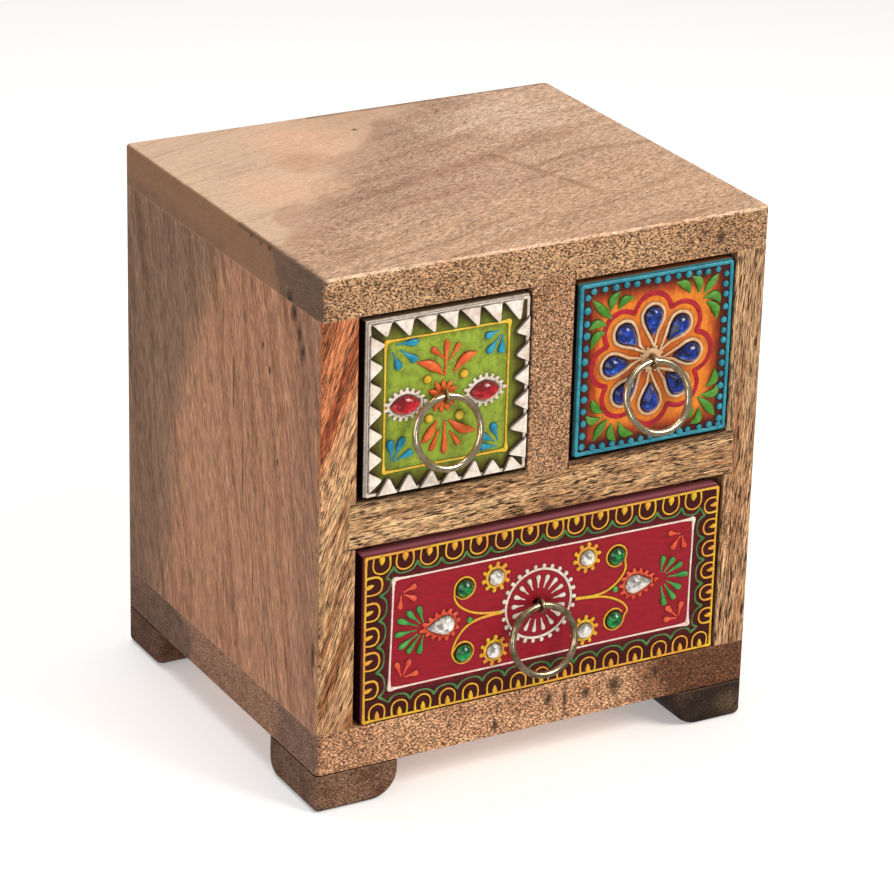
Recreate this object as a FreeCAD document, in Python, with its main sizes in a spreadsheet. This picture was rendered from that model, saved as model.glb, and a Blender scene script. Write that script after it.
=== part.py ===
import FreeCAD, Part
import math
import os
import re
import Sketcher
from FreeCAD import Placement, Rotation, Vector

# A small hand-made chest of mango wood: two little drawers over one wide drawer, on four block feet.
# X runs to the right, Y to the back and Z up, in millimetres. The origin is on the floor, under the
# middle of the whole chest with its ring pulls hanging.

doc = FreeCAD.newDocument("drawer_chest")

# ---------------------------------------------------------------------------------------------
# Driving dimensions: millimetres, and degrees where the note says so
# ---------------------------------------------------------------------------------------------
SIZES = [
    # carcass
    ("carcass_width", 140, "over the side panels"),
    ("carcass_depth", 124, "front edges to the back"),
    ("foot_height", 11.5, "floor to the bottom board"),
    ("bottom_board_thick", 13, ""),
    ("lower_bay_height", 54, "bottom board to shelf"),
    ("shelf_thick", 13.5, ""),
    ("upper_bay_height", 54, "shelf to top board"),
    ("top_board_thick", 12, ""),
    ("left_side_thick", 11.5, ""),
    ("right_side_thick", 10.5, ""),
    ("left_bay_width", 52.8, "left side panel to divider"),
    ("divider_thick", 13.5, ""),
    ("shelf_housing", 2.2, "depth of the shelf's grooves in the side panels"),
    ("divider_housing", 2, "depth of the divider's grooves in the shelf and the top board"),
    ("back_panel_thick", 6, ""),
    ("back_rebate", 4.5, "how far the back panel is let into each side panel"),
    ("corner_round", 1.8, "upright corners of the carcass"),
    ("arris_round", 0.8, "other worn edges of the carcass"),
    # feet
    ("front_left_foot_width", 26.3, ""),
    ("front_left_foot_depth", 29.5, ""),
    ("front_right_foot_width", 23, ""),
    ("front_right_foot_depth", 27, ""),
    ("rear_left_foot_width", 25, ""),
    ("rear_left_foot_depth", 23.5, ""),
    ("rear_right_foot_width", 24, ""),
    ("rear_right_foot_depth", 24.5, ""),
    ("foot_inner_round", 8.5, "lower edge that faces across the chest"),
    ("foot_middle_round", 5.5, "lower edge that faces along the side"),
    ("foot_outer_round", 2, "lower edges on the outside"),
    # panel pins
    ("nail_radius", 0.6, "shank"),
    ("nail_head_radius", 1.2, ""),
    ("nail_head_thick", 0.5, ""),
    ("nail_play", 0.05, "clearance of a nail in its hole, on the radius"),
    ("back_nail_length", 15, "with its head"),
    ("back_nail_margin", 14, "each end of a bay to a nail at the back"),
    ("foot_nail_length", 18, "with its head"),
    ("foot_nail_sink", 1, "head below the foot's sole"),
    # drawer boxes
    ("front_thick", 9, ""),
    ("front_round", 1, "edges of the painted face"),
    ("drawer_side_thick", 5, ""),
    ("drawer_back_thick", 5, ""),
    ("drawer_bottom_thick", 3, ""),
    ("drawer_back_gap", 1, "drawer's back to the back panel"),
    ("side_lap", 4, "how far a side runs into the front's rebate"),
    ("side_inset", 0.6, "front's end to the drawer side"),
    ("side_drop", 4, "top of the front to the top of the sides"),
    ("groove_depth", 2, "groove that holds the drawer's bottom"),
    ("groove_rise", 2, "lower edge of the sides to the groove"),
    ("groove_play", 0.15, "clearance of the bottom's edges in the groove"),
    ("runner_gap", 0.3, "drawer sides over what they slide on"),
    # gaps round the drawer fronts
    ("upper_front_gap_top", 1.9, ""),
    ("upper_front_gap_under", 1.2, ""),
    ("lower_front_gap_top", 2.8, ""),
    ("lower_front_gap_under", 0.4, ""),
    ("left_drawer_gap_left", 2.2, ""),
    ("left_drawer_gap_right", 0.8, ""),
    ("right_drawer_gap_left", 1.3, ""),
    ("right_drawer_gap_right", 0.8, ""),
    ("lower_drawer_gap_left", 2.5, ""),
    ("lower_drawer_gap_right", 1.4, ""),
    # ring pulls and their split pins
    ("ring_radius", 10, "to the middle of the wire"),
    ("ring_wire_radius", 1, ""),
    ("pin_wire_radius", 0.5, ""),
    ("eye_play", 0.3, "ring wire in the eye, on the radius"),
    ("eye_standoff", 0.1, "eye to the painted face"),
    ("neck_bend", 0.9, "bend where the eye runs into the legs"),
    ("leg_bend", 1, "bend where the legs turn over inside"),
    ("leg_gap", 0.1, "between the two legs"),
    ("leg_length", 5, "straight end of each turned leg"),
    ("leg_standoff", 0.2, "turned legs to the drawer front's inside"),
    ("pin_hole_radius", 1.3, ""),
    ("left_pull_shift", -1.9, "pull from the middle of its front, to the right"),
    ("left_pull_rise", 1.3, "pull from the middle of its front, up"),
    ("left_ring_angle", 11, "degrees that the hanging ring stands off"),
    ("right_pull_shift", -1.7, ""),
    ("right_pull_rise", 0.2, ""),
    ("right_ring_angle", 19, "degrees"),
    ("lower_pull_shift", -2, ""),
    ("lower_pull_rise", 0.7, ""),
    ("lower_ring_angle", 12.5, "degrees"),
    # gems
    ("gem_girdle", 0.7, "upright rim of a gem"),
    ("gem_crown", 1.4, "sloping part of a gem, up to its flat table"),
    ("crown_angle", 42, "degrees that the crown's facets lean in"),
    ("pattern_shift", -0.9, "middle of the painted pattern from the middle of its front"),
    ("almond_length", 10, ""),
    ("almond_width", 6.2, ""),
    ("almond_spread", 12.2, "pattern's middle to an almond gem's middle"),
    ("petal_length", 8.7, ""),
    ("petal_width", 5.8, ""),
    ("petal_reach", 6.9, "pattern's middle to a petal gem's point"),
    ("clear_gem_radius", 2.5, ""),
    ("clear_gem_spread", 14.7, ""),
    ("clear_gem_rise", 11.3, ""),
    ("green_gem_radius", 2.7, ""),
    ("green_gem_spread", 24.5, ""),
    ("green_gem_rise", 9.9, ""),
    ("drop_length", 9, ""),
    ("drop_width", 5.9, ""),
    ("drop_spread", 27.7, "pattern's middle to the round end of a drop gem"),
]

sheet = doc.addObject("Spreadsheet::Sheet", "Sizes")
for row, (alias, number, note) in enumerate(SIZES, start=1):
    sheet.set(f"A{row}", alias)
    sheet.set(f"B{row}", str(number))
    sheet.setAlias(f"B{row}", alias)
    sheet.set(f"C{row}", note)
doc.recompute()

ALIASES = {alias for alias, _, _ in SIZES}


def sized(formula):
    """The expression for a formula that names sizes by their plain alias."""
    return re.sub(r"[a-z_]+", lambda word: f"Sizes.{word[0]}" if word[0] in ALIASES else word[0], formula)


def size(alias):
    """The number in one cell of the sheet."""
    return float(sheet.get(alias))


# ---------------------------------------------------------------------------------------------
# Levels and places that several pieces share, as formulas of the sizes
# ---------------------------------------------------------------------------------------------
BOTTOM_TOP = "(foot_height + bottom_board_thick)"
SHELF_UNDER = f"({BOTTOM_TOP} + lower_bay_height)"
SHELF_TOP = f"({SHELF_UNDER} + shelf_thick)"
TOP_UNDER = f"({SHELF_TOP} + upper_bay_height)"
SIDE_HEIGHT = "(lower_bay_height + shelf_thick + upper_bay_height)"

LEFT = "(-carcass_width / 2)"
RIGHT = "(carcass_width / 2)"
INNER_LEFT = f"({LEFT} + left_side_thick)"
INNER_RIGHT = f"({RIGHT} - right_side_thick)"
DIVIDER_LEFT = f"({INNER_LEFT} + left_bay_width)"
DIVIDER_RIGHT = f"({DIVIDER_LEFT} + divider_thick)"

EYE_RADIUS = "(ring_wire_radius + eye_play + pin_wire_radius)"
PIVOT_OUT = f"({EYE_RADIUS} + pin_wire_radius + eye_standoff)"
MOST_LEAN = "max(left_ring_angle; right_ring_angle; lower_ring_angle)"
RING_REACH = f"({PIVOT_OUT} + 2 * ring_radius * sin({MOST_LEAN}) + ring_wire_radius)"
FRONT = f"((({RING_REACH}) - carcass_depth) / 2)"
BACK = f"({FRONT} + carcass_depth)"
INNER_DEPTH = "(carcass_depth - back_panel_thick)"
DRAWER_LENGTH = f"({INNER_DEPTH} - drawer_back_gap)"


# ---------------------------------------------------------------------------------------------
# Ways of working
# ---------------------------------------------------------------------------------------------
def new_body(label, place, turn_axis=None, turn="0"):
    """An empty body whose own origin sits at the place, turned about an axis through it."""
    body = doc.addObject("PartDesign::Body", label)
    body.Label = label
    if turn_axis is not None:
        body.Placement = Placement(Vector(), Rotation(turn_axis, 1))
        body.setExpression("Placement.Rotation.Angle", sized(turn))
    for axis, formula in zip("xyz", place):
        body.setExpression(f"Placement.Base.{axis}", sized(formula))
    return body


def new_sketch(body, role, name, lift="0"):
    """A sketch on one of the body's origin planes, lifted along the plane's normal."""
    sketch = body.newObject("Sketcher::SketchObject", f"{body.Name}_{name}")
    plane = next(feature for feature in body.Origin.OriginFeatures if feature.Role == role)
    sketch.AttachmentSupport = [(plane, "")]
    sketch.MapMode = "FlatFace"
    sketch.setExpression("AttachmentOffset.Base.z", sized(lift))
    return sketch


def pin_point(sketch, geometry, point, across, up):
    """Holds one point of a sketch at two distances from the sketch's origin."""
    for kind, formula in (("DistanceX", across), ("DistanceY", up)):
        index = sketch.addConstraint(Sketcher.Constraint(kind, -1, 1, geometry, point, 1.0))
        sketch.setExpression(f"Constraints[{index}]", sized(formula))


def draw_polygon(sketch, corners):
    """A closed polygon with each corner held by its own pair of formulas."""
    count = len(corners)
    spots = [
        Vector(math.cos(2 * math.pi * k / count), math.sin(2 * math.pi * k / count), 0)
        for k in range(count)
    ]
    lines = [sketch.addGeometry(Part.LineSegment(spots[k], spots[(k + 1) % count])) for k in range(count)]
    for k in range(count):
        sketch.addConstraint(Sketcher.Constraint("Coincident", lines[k - 1], 2, lines[k], 1))
    for line, (across, up) in zip(lines, corners):
        pin_point(sketch, line, 1, across, up)


def draw_rectangle(sketch, low, high):
    """A rectangle between two opposite corners."""
    draw_polygon(sketch, [low, (high[0], low[1]), high, (low[0], high[1])])


def draw_circles(sketch, centres, radius):
    """A circle of one radius round each centre."""
    for centre in centres:
        circle = sketch.addGeometry(Part.Circle(Vector(), Vector(0, 0, 1), 1))
        pin_point(sketch, circle, 3, *centre)
        index = sketch.addConstraint(Sketcher.Constraint("Radius", circle, 1.0))
        sketch.setExpression(f"Constraints[{index}]", sized(radius))


def add_pad(body, sketch, length, lean=None):
    """Grows a sketch along its normal, with its walls leaning in where a lean is given."""
    pad = body.newObject("PartDesign::Pad", f"{sketch.Name}_pad")
    pad.Profile = sketch
    pad.setExpression("Length", sized(length))
    if lean is not None:
        pad.setExpression("TaperAngle", sized(f"-{lean}"))
    doc.recompute()
    return pad


def cut_pocket(body, sketch, length=None, along_normal=False):
    """Cuts a sketch into the body, right through where no length is given, and checks that it cut."""
    before = body.Shape.Volume
    pocket = body.newObject("PartDesign::Pocket", f"{sketch.Name}_pocket")
    pocket.Profile = sketch
    pocket.Reversed = along_normal
    if length is None:
        pocket.Type = "ThroughAll"
    else:
        pocket.setExpression("Length", sized(length))
    doc.recompute()
    if body.Shape.Volume >= before:
        raise RuntimeError(f"{pocket.Name} cut nothing")
    return pocket


def edges_on(feature, *sides):
    """Names of the feature's edges that lie on all the given sides of its box, such as 'x low'."""
    box = feature.Shape.BoundBox
    reach = {
        "x low": box.XMin, "x high": box.XMax,
        "y low": box.YMin, "y high": box.YMax,
        "z low": box.ZMin, "z high": box.ZMax,
    }
    names = []
    for number, edge in enumerate(feature.Shape.Edges, start=1):
        span = edge.BoundBox
        ends = {"x": (span.XMin, span.XMax), "y": (span.YMin, span.YMax), "z": (span.ZMin, span.ZMax)}
        if all(abs(end - reach[side]) < 1e-4 for side in sides for end in ends[side[0]]):
            names.append(f"Edge{number}")
    return names


def round_edges(body, radius, *corners):
    """Rounds the edges of the body's last feature that lie on the given pairs of sides."""
    base = body.Tip
    names = sorted({name for sides in corners for name in edges_on(base, *sides)})
    fillet = body.newObject("PartDesign::Fillet", f"{body.Name}_fillet")
    fillet.Base = (base, names)
    fillet.setExpression("Radius", sized(radius))
    doc.recompute()
    return fillet


def new_board(label, place, across, deep, high):
    """A plain board with its lower front left corner at the place."""
    body = new_body(label, place)
    outline = new_sketch(body, "XY_Plane", "outline")
    draw_rectangle(outline, ("0", "0"), (across, deep))
    add_pad(body, outline, high)
    return body


def groove_to_back(body, name, low, high, length=None):
    """A groove that starts at the body's front and runs straight back; its section is in X and Z."""
    section = new_sketch(body, "XZ_Plane", name)
    draw_rectangle(section, low, high)
    return cut_pocket(body, section, length)


# ---------------------------------------------------------------------------------------------
# Carcass
# ---------------------------------------------------------------------------------------------
OUTER_CORNERS = [("x low", "y low"), ("x high", "y low"), ("x low", "y high"), ("x high", "y high")]
RIM_UNDER = [("x low", "z low"), ("x high", "z low"), ("y low", "z low"), ("y high", "z low")]
RIM_OVER = [("x low", "z high"), ("x high", "z high"), ("y low", "z high"), ("y high", "z high")]


def make_top_board():
    """Covers both side panels; a groove in its underside holds the divider."""
    board = new_board(
        "top_board", (LEFT, FRONT, TOP_UNDER), "carcass_width", "carcass_depth", "top_board_thick"
    )
    round_edges(board, "corner_round", *OUTER_CORNERS)
    round_edges(board, "arris_round", *RIM_OVER)
    groove_to_back(
        board, "divider_groove",
        (f"{DIVIDER_LEFT} - {LEFT}", "0"), (f"{DIVIDER_RIGHT} - {LEFT}", "divider_housing"),
        INNER_DEPTH,
    )
    return board


def make_bottom_board(feet):
    """Carries the side panels, with a blind hole over each foot for its nail."""
    board = new_board(
        "bottom_board", (LEFT, FRONT, "foot_height"), "carcass_width", "carcass_depth", "bottom_board_thick"
    )
    round_edges(board, "corner_round", *OUTER_CORNERS)
    round_edges(board, "arris_round", *RIM_UNDER)
    holes = new_sketch(board, "XY_Plane", "foot_nail_holes")
    centres = [(f"{x} - {LEFT}", f"{y} - {FRONT}") for x, y in (foot_middle(*foot) for foot in feet)]
    draw_circles(holes, centres, "nail_radius + nail_play")
    cut_pocket(board, holes, "foot_nail_length + foot_nail_sink - foot_height + nail_play", along_normal=True)
    return board


# Heights of the nails up each side of the back panel, from the bottom board: two to a bay, clear of the shelf
BACK_NAIL_HEIGHTS = [
    "back_nail_margin",
    "lower_bay_height - back_nail_margin",
    "lower_bay_height + shelf_thick + back_nail_margin",
    f"{SIDE_HEIGHT} - back_nail_margin",
]


def make_side_panel(label, left, thick, inner_side):
    """Stands between the bottom and top boards, housed for the shelf and rebated for the back panel."""
    panel = new_board(label, (left, FRONT, BOTTOM_TOP), thick, "carcass_depth", SIDE_HEIGHT)
    outer_side = "x low" if inner_side == "x high" else "x high"
    round_edges(panel, "corner_round", (outer_side, "y low"), (outer_side, "y high"))
    round_edges(panel, "arris_round", (inner_side, "y low"))

    def inward(distance):
        """Distance from the panel's left face of a plane so deep in its inner face."""
        return f"{thick} - {distance}" if inner_side == "x high" else distance

    inner_face = inward("0")
    groove_to_back(
        panel, "shelf_groove",
        (inward("shelf_housing"), "lower_bay_height"), (inner_face, "lower_bay_height + shelf_thick"),
    )
    rebate = new_sketch(panel, "XY_Plane", "back_rebate")
    draw_rectangle(rebate, (inward("back_rebate"), INNER_DEPTH), (inner_face, "carcass_depth"))
    cut_pocket(panel, rebate, along_normal=True)
    holes = new_sketch(panel, "XZ_Plane", "back_nail_holes", f"-{INNER_DEPTH}")
    spots = [(inward("back_rebate / 2"), height) for height in BACK_NAIL_HEIGHTS]
    draw_circles(holes, spots, "nail_radius + nail_play")
    cut_pocket(panel, holes, "back_nail_length - back_panel_thick + nail_play", along_normal=True)
    return panel


def make_shelf():
    """Runs across between the two rows of drawers; a groove in its top holds the divider."""
    shelf = new_board(
        "middle_shelf", (f"{INNER_LEFT} - shelf_housing", FRONT, SHELF_UNDER),
        f"{INNER_RIGHT} - {INNER_LEFT} + 2 * shelf_housing", INNER_DEPTH, "shelf_thick",
    )
    round_edges(shelf, "arris_round", ("y low", "z low"), ("y low", "z high"))
    groove_left = "shelf_housing + left_bay_width"
    groove_to_back(
        shelf, "divider_groove",
        (groove_left, "shelf_thick - divider_housing"), (f"{groove_left} + divider_thick", "shelf_thick"),
    )
    return shelf


def make_divider():
    """Parts the two upper drawers."""
    divider = new_board(
        "centre_divider", (DIVIDER_LEFT, FRONT, f"{SHELF_TOP} - divider_housing"),
        "divider_thick", INNER_DEPTH, "upper_bay_height + 2 * divider_housing",
    )
    round_edges(divider, "arris_round", ("x low", "y low"), ("x high", "y low"))
    return divider


def make_back_panel():
    """Closes the back, flush with the carcass, nailed into the rebates of the side panels."""
    left = f"({INNER_LEFT} - back_rebate)"
    across = f"({INNER_RIGHT} - {INNER_LEFT} + 2 * back_rebate)"
    place = (left, f"{FRONT} + {INNER_DEPTH}", BOTTOM_TOP)
    panel = new_board("back_panel", place, across, "back_panel_thick", SIDE_HEIGHT)
    spots = new_sketch(panel, "XZ_Plane", "nail_spots", "-back_panel_thick")
    columns = ("back_rebate / 2", f"{across} - back_rebate / 2")
    centres = [(column, height) for column in columns for height in BACK_NAIL_HEIGHTS]
    draw_circles(spots, centres, "nail_radius")
    doc.recompute()
    holes = panel.newObject("PartDesign::Hole", "back_panel_holes")
    holes.Profile = spots
    holes.DepthType = "ThroughAll"
    holes.Reversed = True
    holes.setExpression("Diameter", sized("2 * (nail_radius + nail_play)"))
    holes.HoleCutType = "Counterbore"
    holes.setExpression("HoleCutDiameter", sized("2 * (nail_head_radius + nail_play)"))
    holes.setExpression("HoleCutDepth", sized("nail_head_thick"))
    doc.recompute()
    return panel


def make_nails(label, heads, direction, length):
    """Round nails in one node, each a head and a shank along one direction from the head's outer face."""
    turn = Rotation(Vector(0, 0, 1), direction)
    solids = []
    for number, place in enumerate(heads, start=1):
        head = doc.addObject("Part::Cylinder", f"{label}_head_{number}")
        head.setExpression("Radius", sized("nail_head_radius"))
        head.setExpression("Height", sized("nail_head_thick"))
        shank = doc.addObject("Part::Cylinder", f"{label}_shank_{number}")
        shank.setExpression("Radius", sized("nail_radius"))
        shank.setExpression("Height", sized(length))
        for piece in (head, shank):
            piece.Placement = Placement(Vector(), turn)
            for axis, formula in zip("xyz", place):
                piece.setExpression(f"Placement.Base.{axis}", sized(formula))
            solids.append(piece)
    nails = doc.addObject("Part::MultiFuse", label)
    nails.Label = label
    nails.Shapes = solids
    doc.recompute()
    return nails


def make_back_nails():
    """Four nails up each side of the back panel."""
    columns = (f"{INNER_LEFT} - back_rebate / 2", f"{INNER_RIGHT} + back_rebate / 2")
    heads = [(x, BACK, f"{BOTTOM_TOP} + {height}") for x in columns for height in BACK_NAIL_HEIGHTS]
    return make_nails("back_panel_nails", heads, Vector(0, -1, 0), "back_nail_length")


# ---------------------------------------------------------------------------------------------
# Feet
# ---------------------------------------------------------------------------------------------
# Each foot is named, and stands in a corner: -1 is left or front, +1 is right or rear.
FEET = [("front_left", -1, -1), ("front_right", 1, -1), ("rear_left", -1, 1), ("rear_right", 1, 1)]


def foot_corner(name, x_sign, y_sign):
    """Left and front faces of a foot."""
    left = LEFT if x_sign < 0 else f"({RIGHT} - {name}_foot_width)"
    front = FRONT if y_sign < 0 else f"({BACK} - {name}_foot_depth)"
    return left, front


def foot_middle(name, x_sign, y_sign):
    """Middle of a foot, where its nail goes in."""
    left, front = foot_corner(name, x_sign, y_sign)
    return f"({left} + {name}_foot_width / 2)", f"({front} + {name}_foot_depth / 2)"


def make_foot(name, x_sign, y_sign):
    """A block whose lower edges are rounded, most of all towards the middle of the chest."""
    left, front = foot_corner(name, x_sign, y_sign)
    foot = new_board(
        f"foot_{name}", (left, front, "0"), f"{name}_foot_width", f"{name}_foot_depth", "foot_height"
    )
    outer_x, inner_x = ("x low", "x high") if x_sign < 0 else ("x high", "x low")
    outer_y, inner_y = ("y low", "y high") if y_sign < 0 else ("y high", "y low")
    round_edges(foot, "corner_round", (outer_x, outer_y))
    round_edges(foot, "foot_inner_round", (inner_x, "z low"))
    round_edges(foot, "foot_middle_round", (inner_y, "z low"))
    round_edges(foot, "foot_outer_round", (outer_x, "z low"), (outer_y, "z low"))
    middle = (f"{name}_foot_width / 2", f"{name}_foot_depth / 2")
    shank = new_sketch(foot, "XY_Plane", "nail_hole")
    draw_circles(shank, [middle], "nail_radius + nail_play")
    cut_pocket(foot, shank, along_normal=True)
    head = new_sketch(foot, "XY_Plane", "nail_sink")
    draw_circles(head, [middle], "nail_head_radius + nail_play")
    cut_pocket(foot, head, "foot_nail_sink + nail_head_thick", along_normal=True)
    return foot


def make_foot_nails():
    """One nail up through the middle of each foot."""
    heads = [(*foot_middle(*foot), "foot_nail_sink") for foot in FEET]
    return make_nails("foot_nails", heads, Vector(0, 0, 1), "foot_nail_length")


# ---------------------------------------------------------------------------------------------
# Drawers
# ---------------------------------------------------------------------------------------------
class Drawer:
    """Formulas for one drawer: its name, the bay that it fills and the gaps round its front."""

    def __init__(self, name, bay_left, bay_right, bay_floor, bay_height, row):
        self.name = name
        self.left = f"({bay_left} + {name}_drawer_gap_left)"
        self.right = f"({bay_right} - {name}_drawer_gap_right)"
        self.width = f"({self.right} - {self.left})"
        self.under = f"({bay_floor} + {row}_front_gap_under)"
        self.height = f"({bay_height} - {row}_front_gap_under - {row}_front_gap_top)"
        self.side_under = f"({bay_floor} + runner_gap)"
        self.side_height = f"({self.under} + {self.height} - side_drop - {self.side_under})"
        self.groove_level = f"({self.side_under} + groove_rise)"
        self.middle_x = f"(({self.left} + {self.right}) / 2)"
        self.middle_z = f"({self.under} + {self.height} / 2)"
        self.pull_x = f"({self.middle_x} + {name}_pull_shift)"
        self.pull_z = f"({self.middle_z} + {name}_pull_rise)"
        self.pattern_x = f"({self.middle_x} + pattern_shift)"

    def node(self, piece):
        return f"{self.name}_drawer_{piece}"


DRAWERS = [
    Drawer("left", INNER_LEFT, DIVIDER_LEFT, SHELF_TOP, "upper_bay_height", "upper"),
    Drawer("right", DIVIDER_RIGHT, INNER_RIGHT, SHELF_TOP, "upper_bay_height", "upper"),
    Drawer("lower", INNER_LEFT, INNER_RIGHT, BOTTOM_TOP, "lower_bay_height", "lower"),
]
SIDE_START = "(front_thick - side_lap)"
INSIDE_LEFT = "(side_inset + drawer_side_thick)"
GROOVE_HEIGHT = "(drawer_bottom_thick + groove_play)"


def make_drawer_front(drawer):
    """The board that carries the painting: rebated for the sides, grooved for the bottom."""
    front = new_board(
        drawer.node("front"), (drawer.left, FRONT, drawer.under), drawer.width, "front_thick", drawer.height
    )
    round_edges(
        front, "front_round", ("x low", "y low"), ("x high", "y low"), ("y low", "z low"), ("y low", "z high")
    )
    rebates = new_sketch(front, "XY_Plane", "side_rebates")
    draw_rectangle(rebates, ("0", SIDE_START), (INSIDE_LEFT, "front_thick"))
    draw_rectangle(rebates, (f"{drawer.width} - {INSIDE_LEFT}", SIDE_START), (drawer.width, "front_thick"))
    cut_pocket(front, rebates, along_normal=True)
    groove = new_sketch(front, "YZ_Plane", "bottom_groove")
    low = f"{drawer.groove_level} - {drawer.under}"
    draw_rectangle(groove, ("front_thick - groove_depth", low), ("front_thick", f"{low} + {GROOVE_HEIGHT}"))
    cut_pocket(front, groove, along_normal=True)
    pin_hole = new_sketch(front, "XZ_Plane", "pin_hole")
    middle = (f"{drawer.pull_x} - {drawer.left}", f"{drawer.pull_z} - {drawer.under}")
    draw_circles(pin_hole, [middle], "pin_hole_radius")
    cut_pocket(front, pin_hole)
    return front


def make_drawer_side(drawer, hand):
    """A thin board from the front's rebate to the drawer's back, grooved for the bottom."""
    if hand == "left":
        left = f"({drawer.left} + side_inset)"
        groove_low, groove_high = "drawer_side_thick - groove_depth", "drawer_side_thick"
    else:
        left = f"({drawer.right} - {INSIDE_LEFT})"
        groove_low, groove_high = "0", "groove_depth"
    side = new_board(
        drawer.node(f"{hand}_side"), (left, f"{FRONT} + {SIDE_START}", drawer.side_under),
        "drawer_side_thick", f"{DRAWER_LENGTH} - {SIDE_START}", drawer.side_height,
    )
    groove_to_back(
        side, "bottom_groove", (groove_low, "groove_rise"), (groove_high, f"groove_rise + {GROOVE_HEIGHT}")
    )
    return side


def make_drawer_back(drawer):
    """Stands between the sides, grooved for the bottom."""
    inner_face = f"({FRONT} + {DRAWER_LENGTH} - drawer_back_thick)"
    back = new_board(
        drawer.node("back"), (f"{drawer.left} + {INSIDE_LEFT}", inner_face, drawer.side_under),
        f"{drawer.width} - 2 * {INSIDE_LEFT}", "drawer_back_thick", drawer.side_height,
    )
    groove = new_sketch(back, "YZ_Plane", "bottom_groove")
    draw_rectangle(groove, ("0", "groove_rise"), ("groove_depth", f"groove_rise + {GROOVE_HEIGHT}"))
    cut_pocket(back, groove, along_normal=True)
    return back


def make_drawer_bottom(drawer):
    """A thin board held in the grooves all round."""
    reach = "(groove_depth - groove_play)"
    return new_board(
        drawer.node("bottom"),
        (f"{drawer.left} + {INSIDE_LEFT} - {reach}", f"{FRONT} + front_thick - {reach}", drawer.groove_level),
        f"{drawer.width} - 2 * ({INSIDE_LEFT} - {reach})",
        f"{DRAWER_LENGTH} - front_thick - drawer_back_thick + 2 * {reach}",
        "drawer_bottom_thick",
    )


# ---------------------------------------------------------------------------------------------
# Split pins and rings
# ---------------------------------------------------------------------------------------------
LEG_LEVEL = "(leg_gap / 2 + pin_wire_radius)"
LEG_PLANE = f"({PIVOT_OUT} + front_thick + leg_standoff + pin_wire_radius)"


def draw_half_pin(path):
    """Middle line of the upper half of a split pin: eye, neck, shank, bend and turned leg.

    The eye is round the sketch's origin and the shank runs back, along the sketch's first axis.
    Each run starts near its true place, and the constraints settle it from the sizes.
    """
    eye = size("ring_wire_radius") + size("eye_play") + size("pin_wire_radius")
    neck = size("neck_bend")
    bend = size("leg_bend")
    level = size("leg_gap") / 2 + size("pin_wire_radius")
    front_inside = eye + size("pin_wire_radius") + size("eye_standoff") + size("front_thick")
    plane = front_inside + size("leg_standoff") + size("pin_wire_radius")
    up = Vector(0, 0, 1)
    neck_middle = Vector(math.sqrt((eye + neck) ** 2 - (level + neck) ** 2), level + neck, 0)
    bend_middle = Vector(plane - bend, level + bend, 0)
    slope = math.atan2(neck_middle.y, neck_middle.x)
    foot = Vector(plane, level + bend, 0)

    loop = path.addGeometry(Part.ArcOfCircle(Part.Circle(Vector(), up, eye), slope, math.pi))
    neck_run = path.addGeometry(
        Part.ArcOfCircle(Part.Circle(neck_middle, up, neck), math.pi + slope, 1.5 * math.pi)
    )
    shank = path.addGeometry(
        Part.LineSegment(Vector(neck_middle.x, level, 0), Vector(bend_middle.x, level, 0))
    )
    bend_run = path.addGeometry(
        Part.ArcOfCircle(Part.Circle(bend_middle, up, bend), 1.5 * math.pi, 2 * math.pi)
    )
    leg = path.addGeometry(Part.LineSegment(foot, foot + Vector(0, size("leg_length"), 0)))

    path.addConstraint([
        Sketcher.Constraint("Coincident", loop, 3, -1, 1),
        Sketcher.Constraint("PointOnObject", loop, 2, -1),
        Sketcher.Constraint("Tangent", loop, 1, neck_run, 1),
        Sketcher.Constraint("Tangent", neck_run, 2, shank, 1),
        Sketcher.Constraint("Tangent", shank, 2, bend_run, 1),
        Sketcher.Constraint("Tangent", bend_run, 2, leg, 1),
        Sketcher.Constraint("Horizontal", shank),
        Sketcher.Constraint("Vertical", leg),
    ])
    held = [
        (Sketcher.Constraint("Radius", loop, eye), EYE_RADIUS),
        (Sketcher.Constraint("Radius", neck_run, neck), "neck_bend"),
        (Sketcher.Constraint("Radius", bend_run, bend), "leg_bend"),
        (Sketcher.Constraint("DistanceY", -1, 1, shank, 1, level), LEG_LEVEL),
        (Sketcher.Constraint("DistanceX", -1, 1, leg, 1, plane), LEG_PLANE),
        (Sketcher.Constraint("DistanceY", leg, 1, leg, 2, size("leg_length")), "leg_length"),
    ]
    for constraint, formula in held:
        index = path.addConstraint(constraint)
        path.setExpression(f"Constraints[{index}]", sized(formula))


def make_pull_pin(drawer):
    """A split pin: its eye holds the ring, and its two legs are turned over flat inside the drawer."""
    pin = new_body(drawer.node("pull_pin"), (drawer.pull_x, f"{FRONT} - {PIVOT_OUT}", drawer.pull_z))
    path = new_sketch(pin, "YZ_Plane", "path")
    draw_half_pin(path)
    section = new_sketch(pin, "XY_Plane", "section")
    draw_circles(section, [("0", f"-{EYE_RADIUS}")], "pin_wire_radius")
    doc.recompute()
    half = pin.newObject("PartDesign::AdditivePipe", f"{pin.Name}_half")
    half.Profile = section
    half.Spine = path
    doc.recompute()
    whole = pin.newObject("PartDesign::Mirrored", f"{pin.Name}_whole")
    whole.Originals = [half]
    whole.MirrorPlane = (next(f for f in pin.Origin.OriginFeatures if f.Role == "XY_Plane"), [""])
    pin.Tip = whole
    doc.recompute()
    return pin


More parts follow.
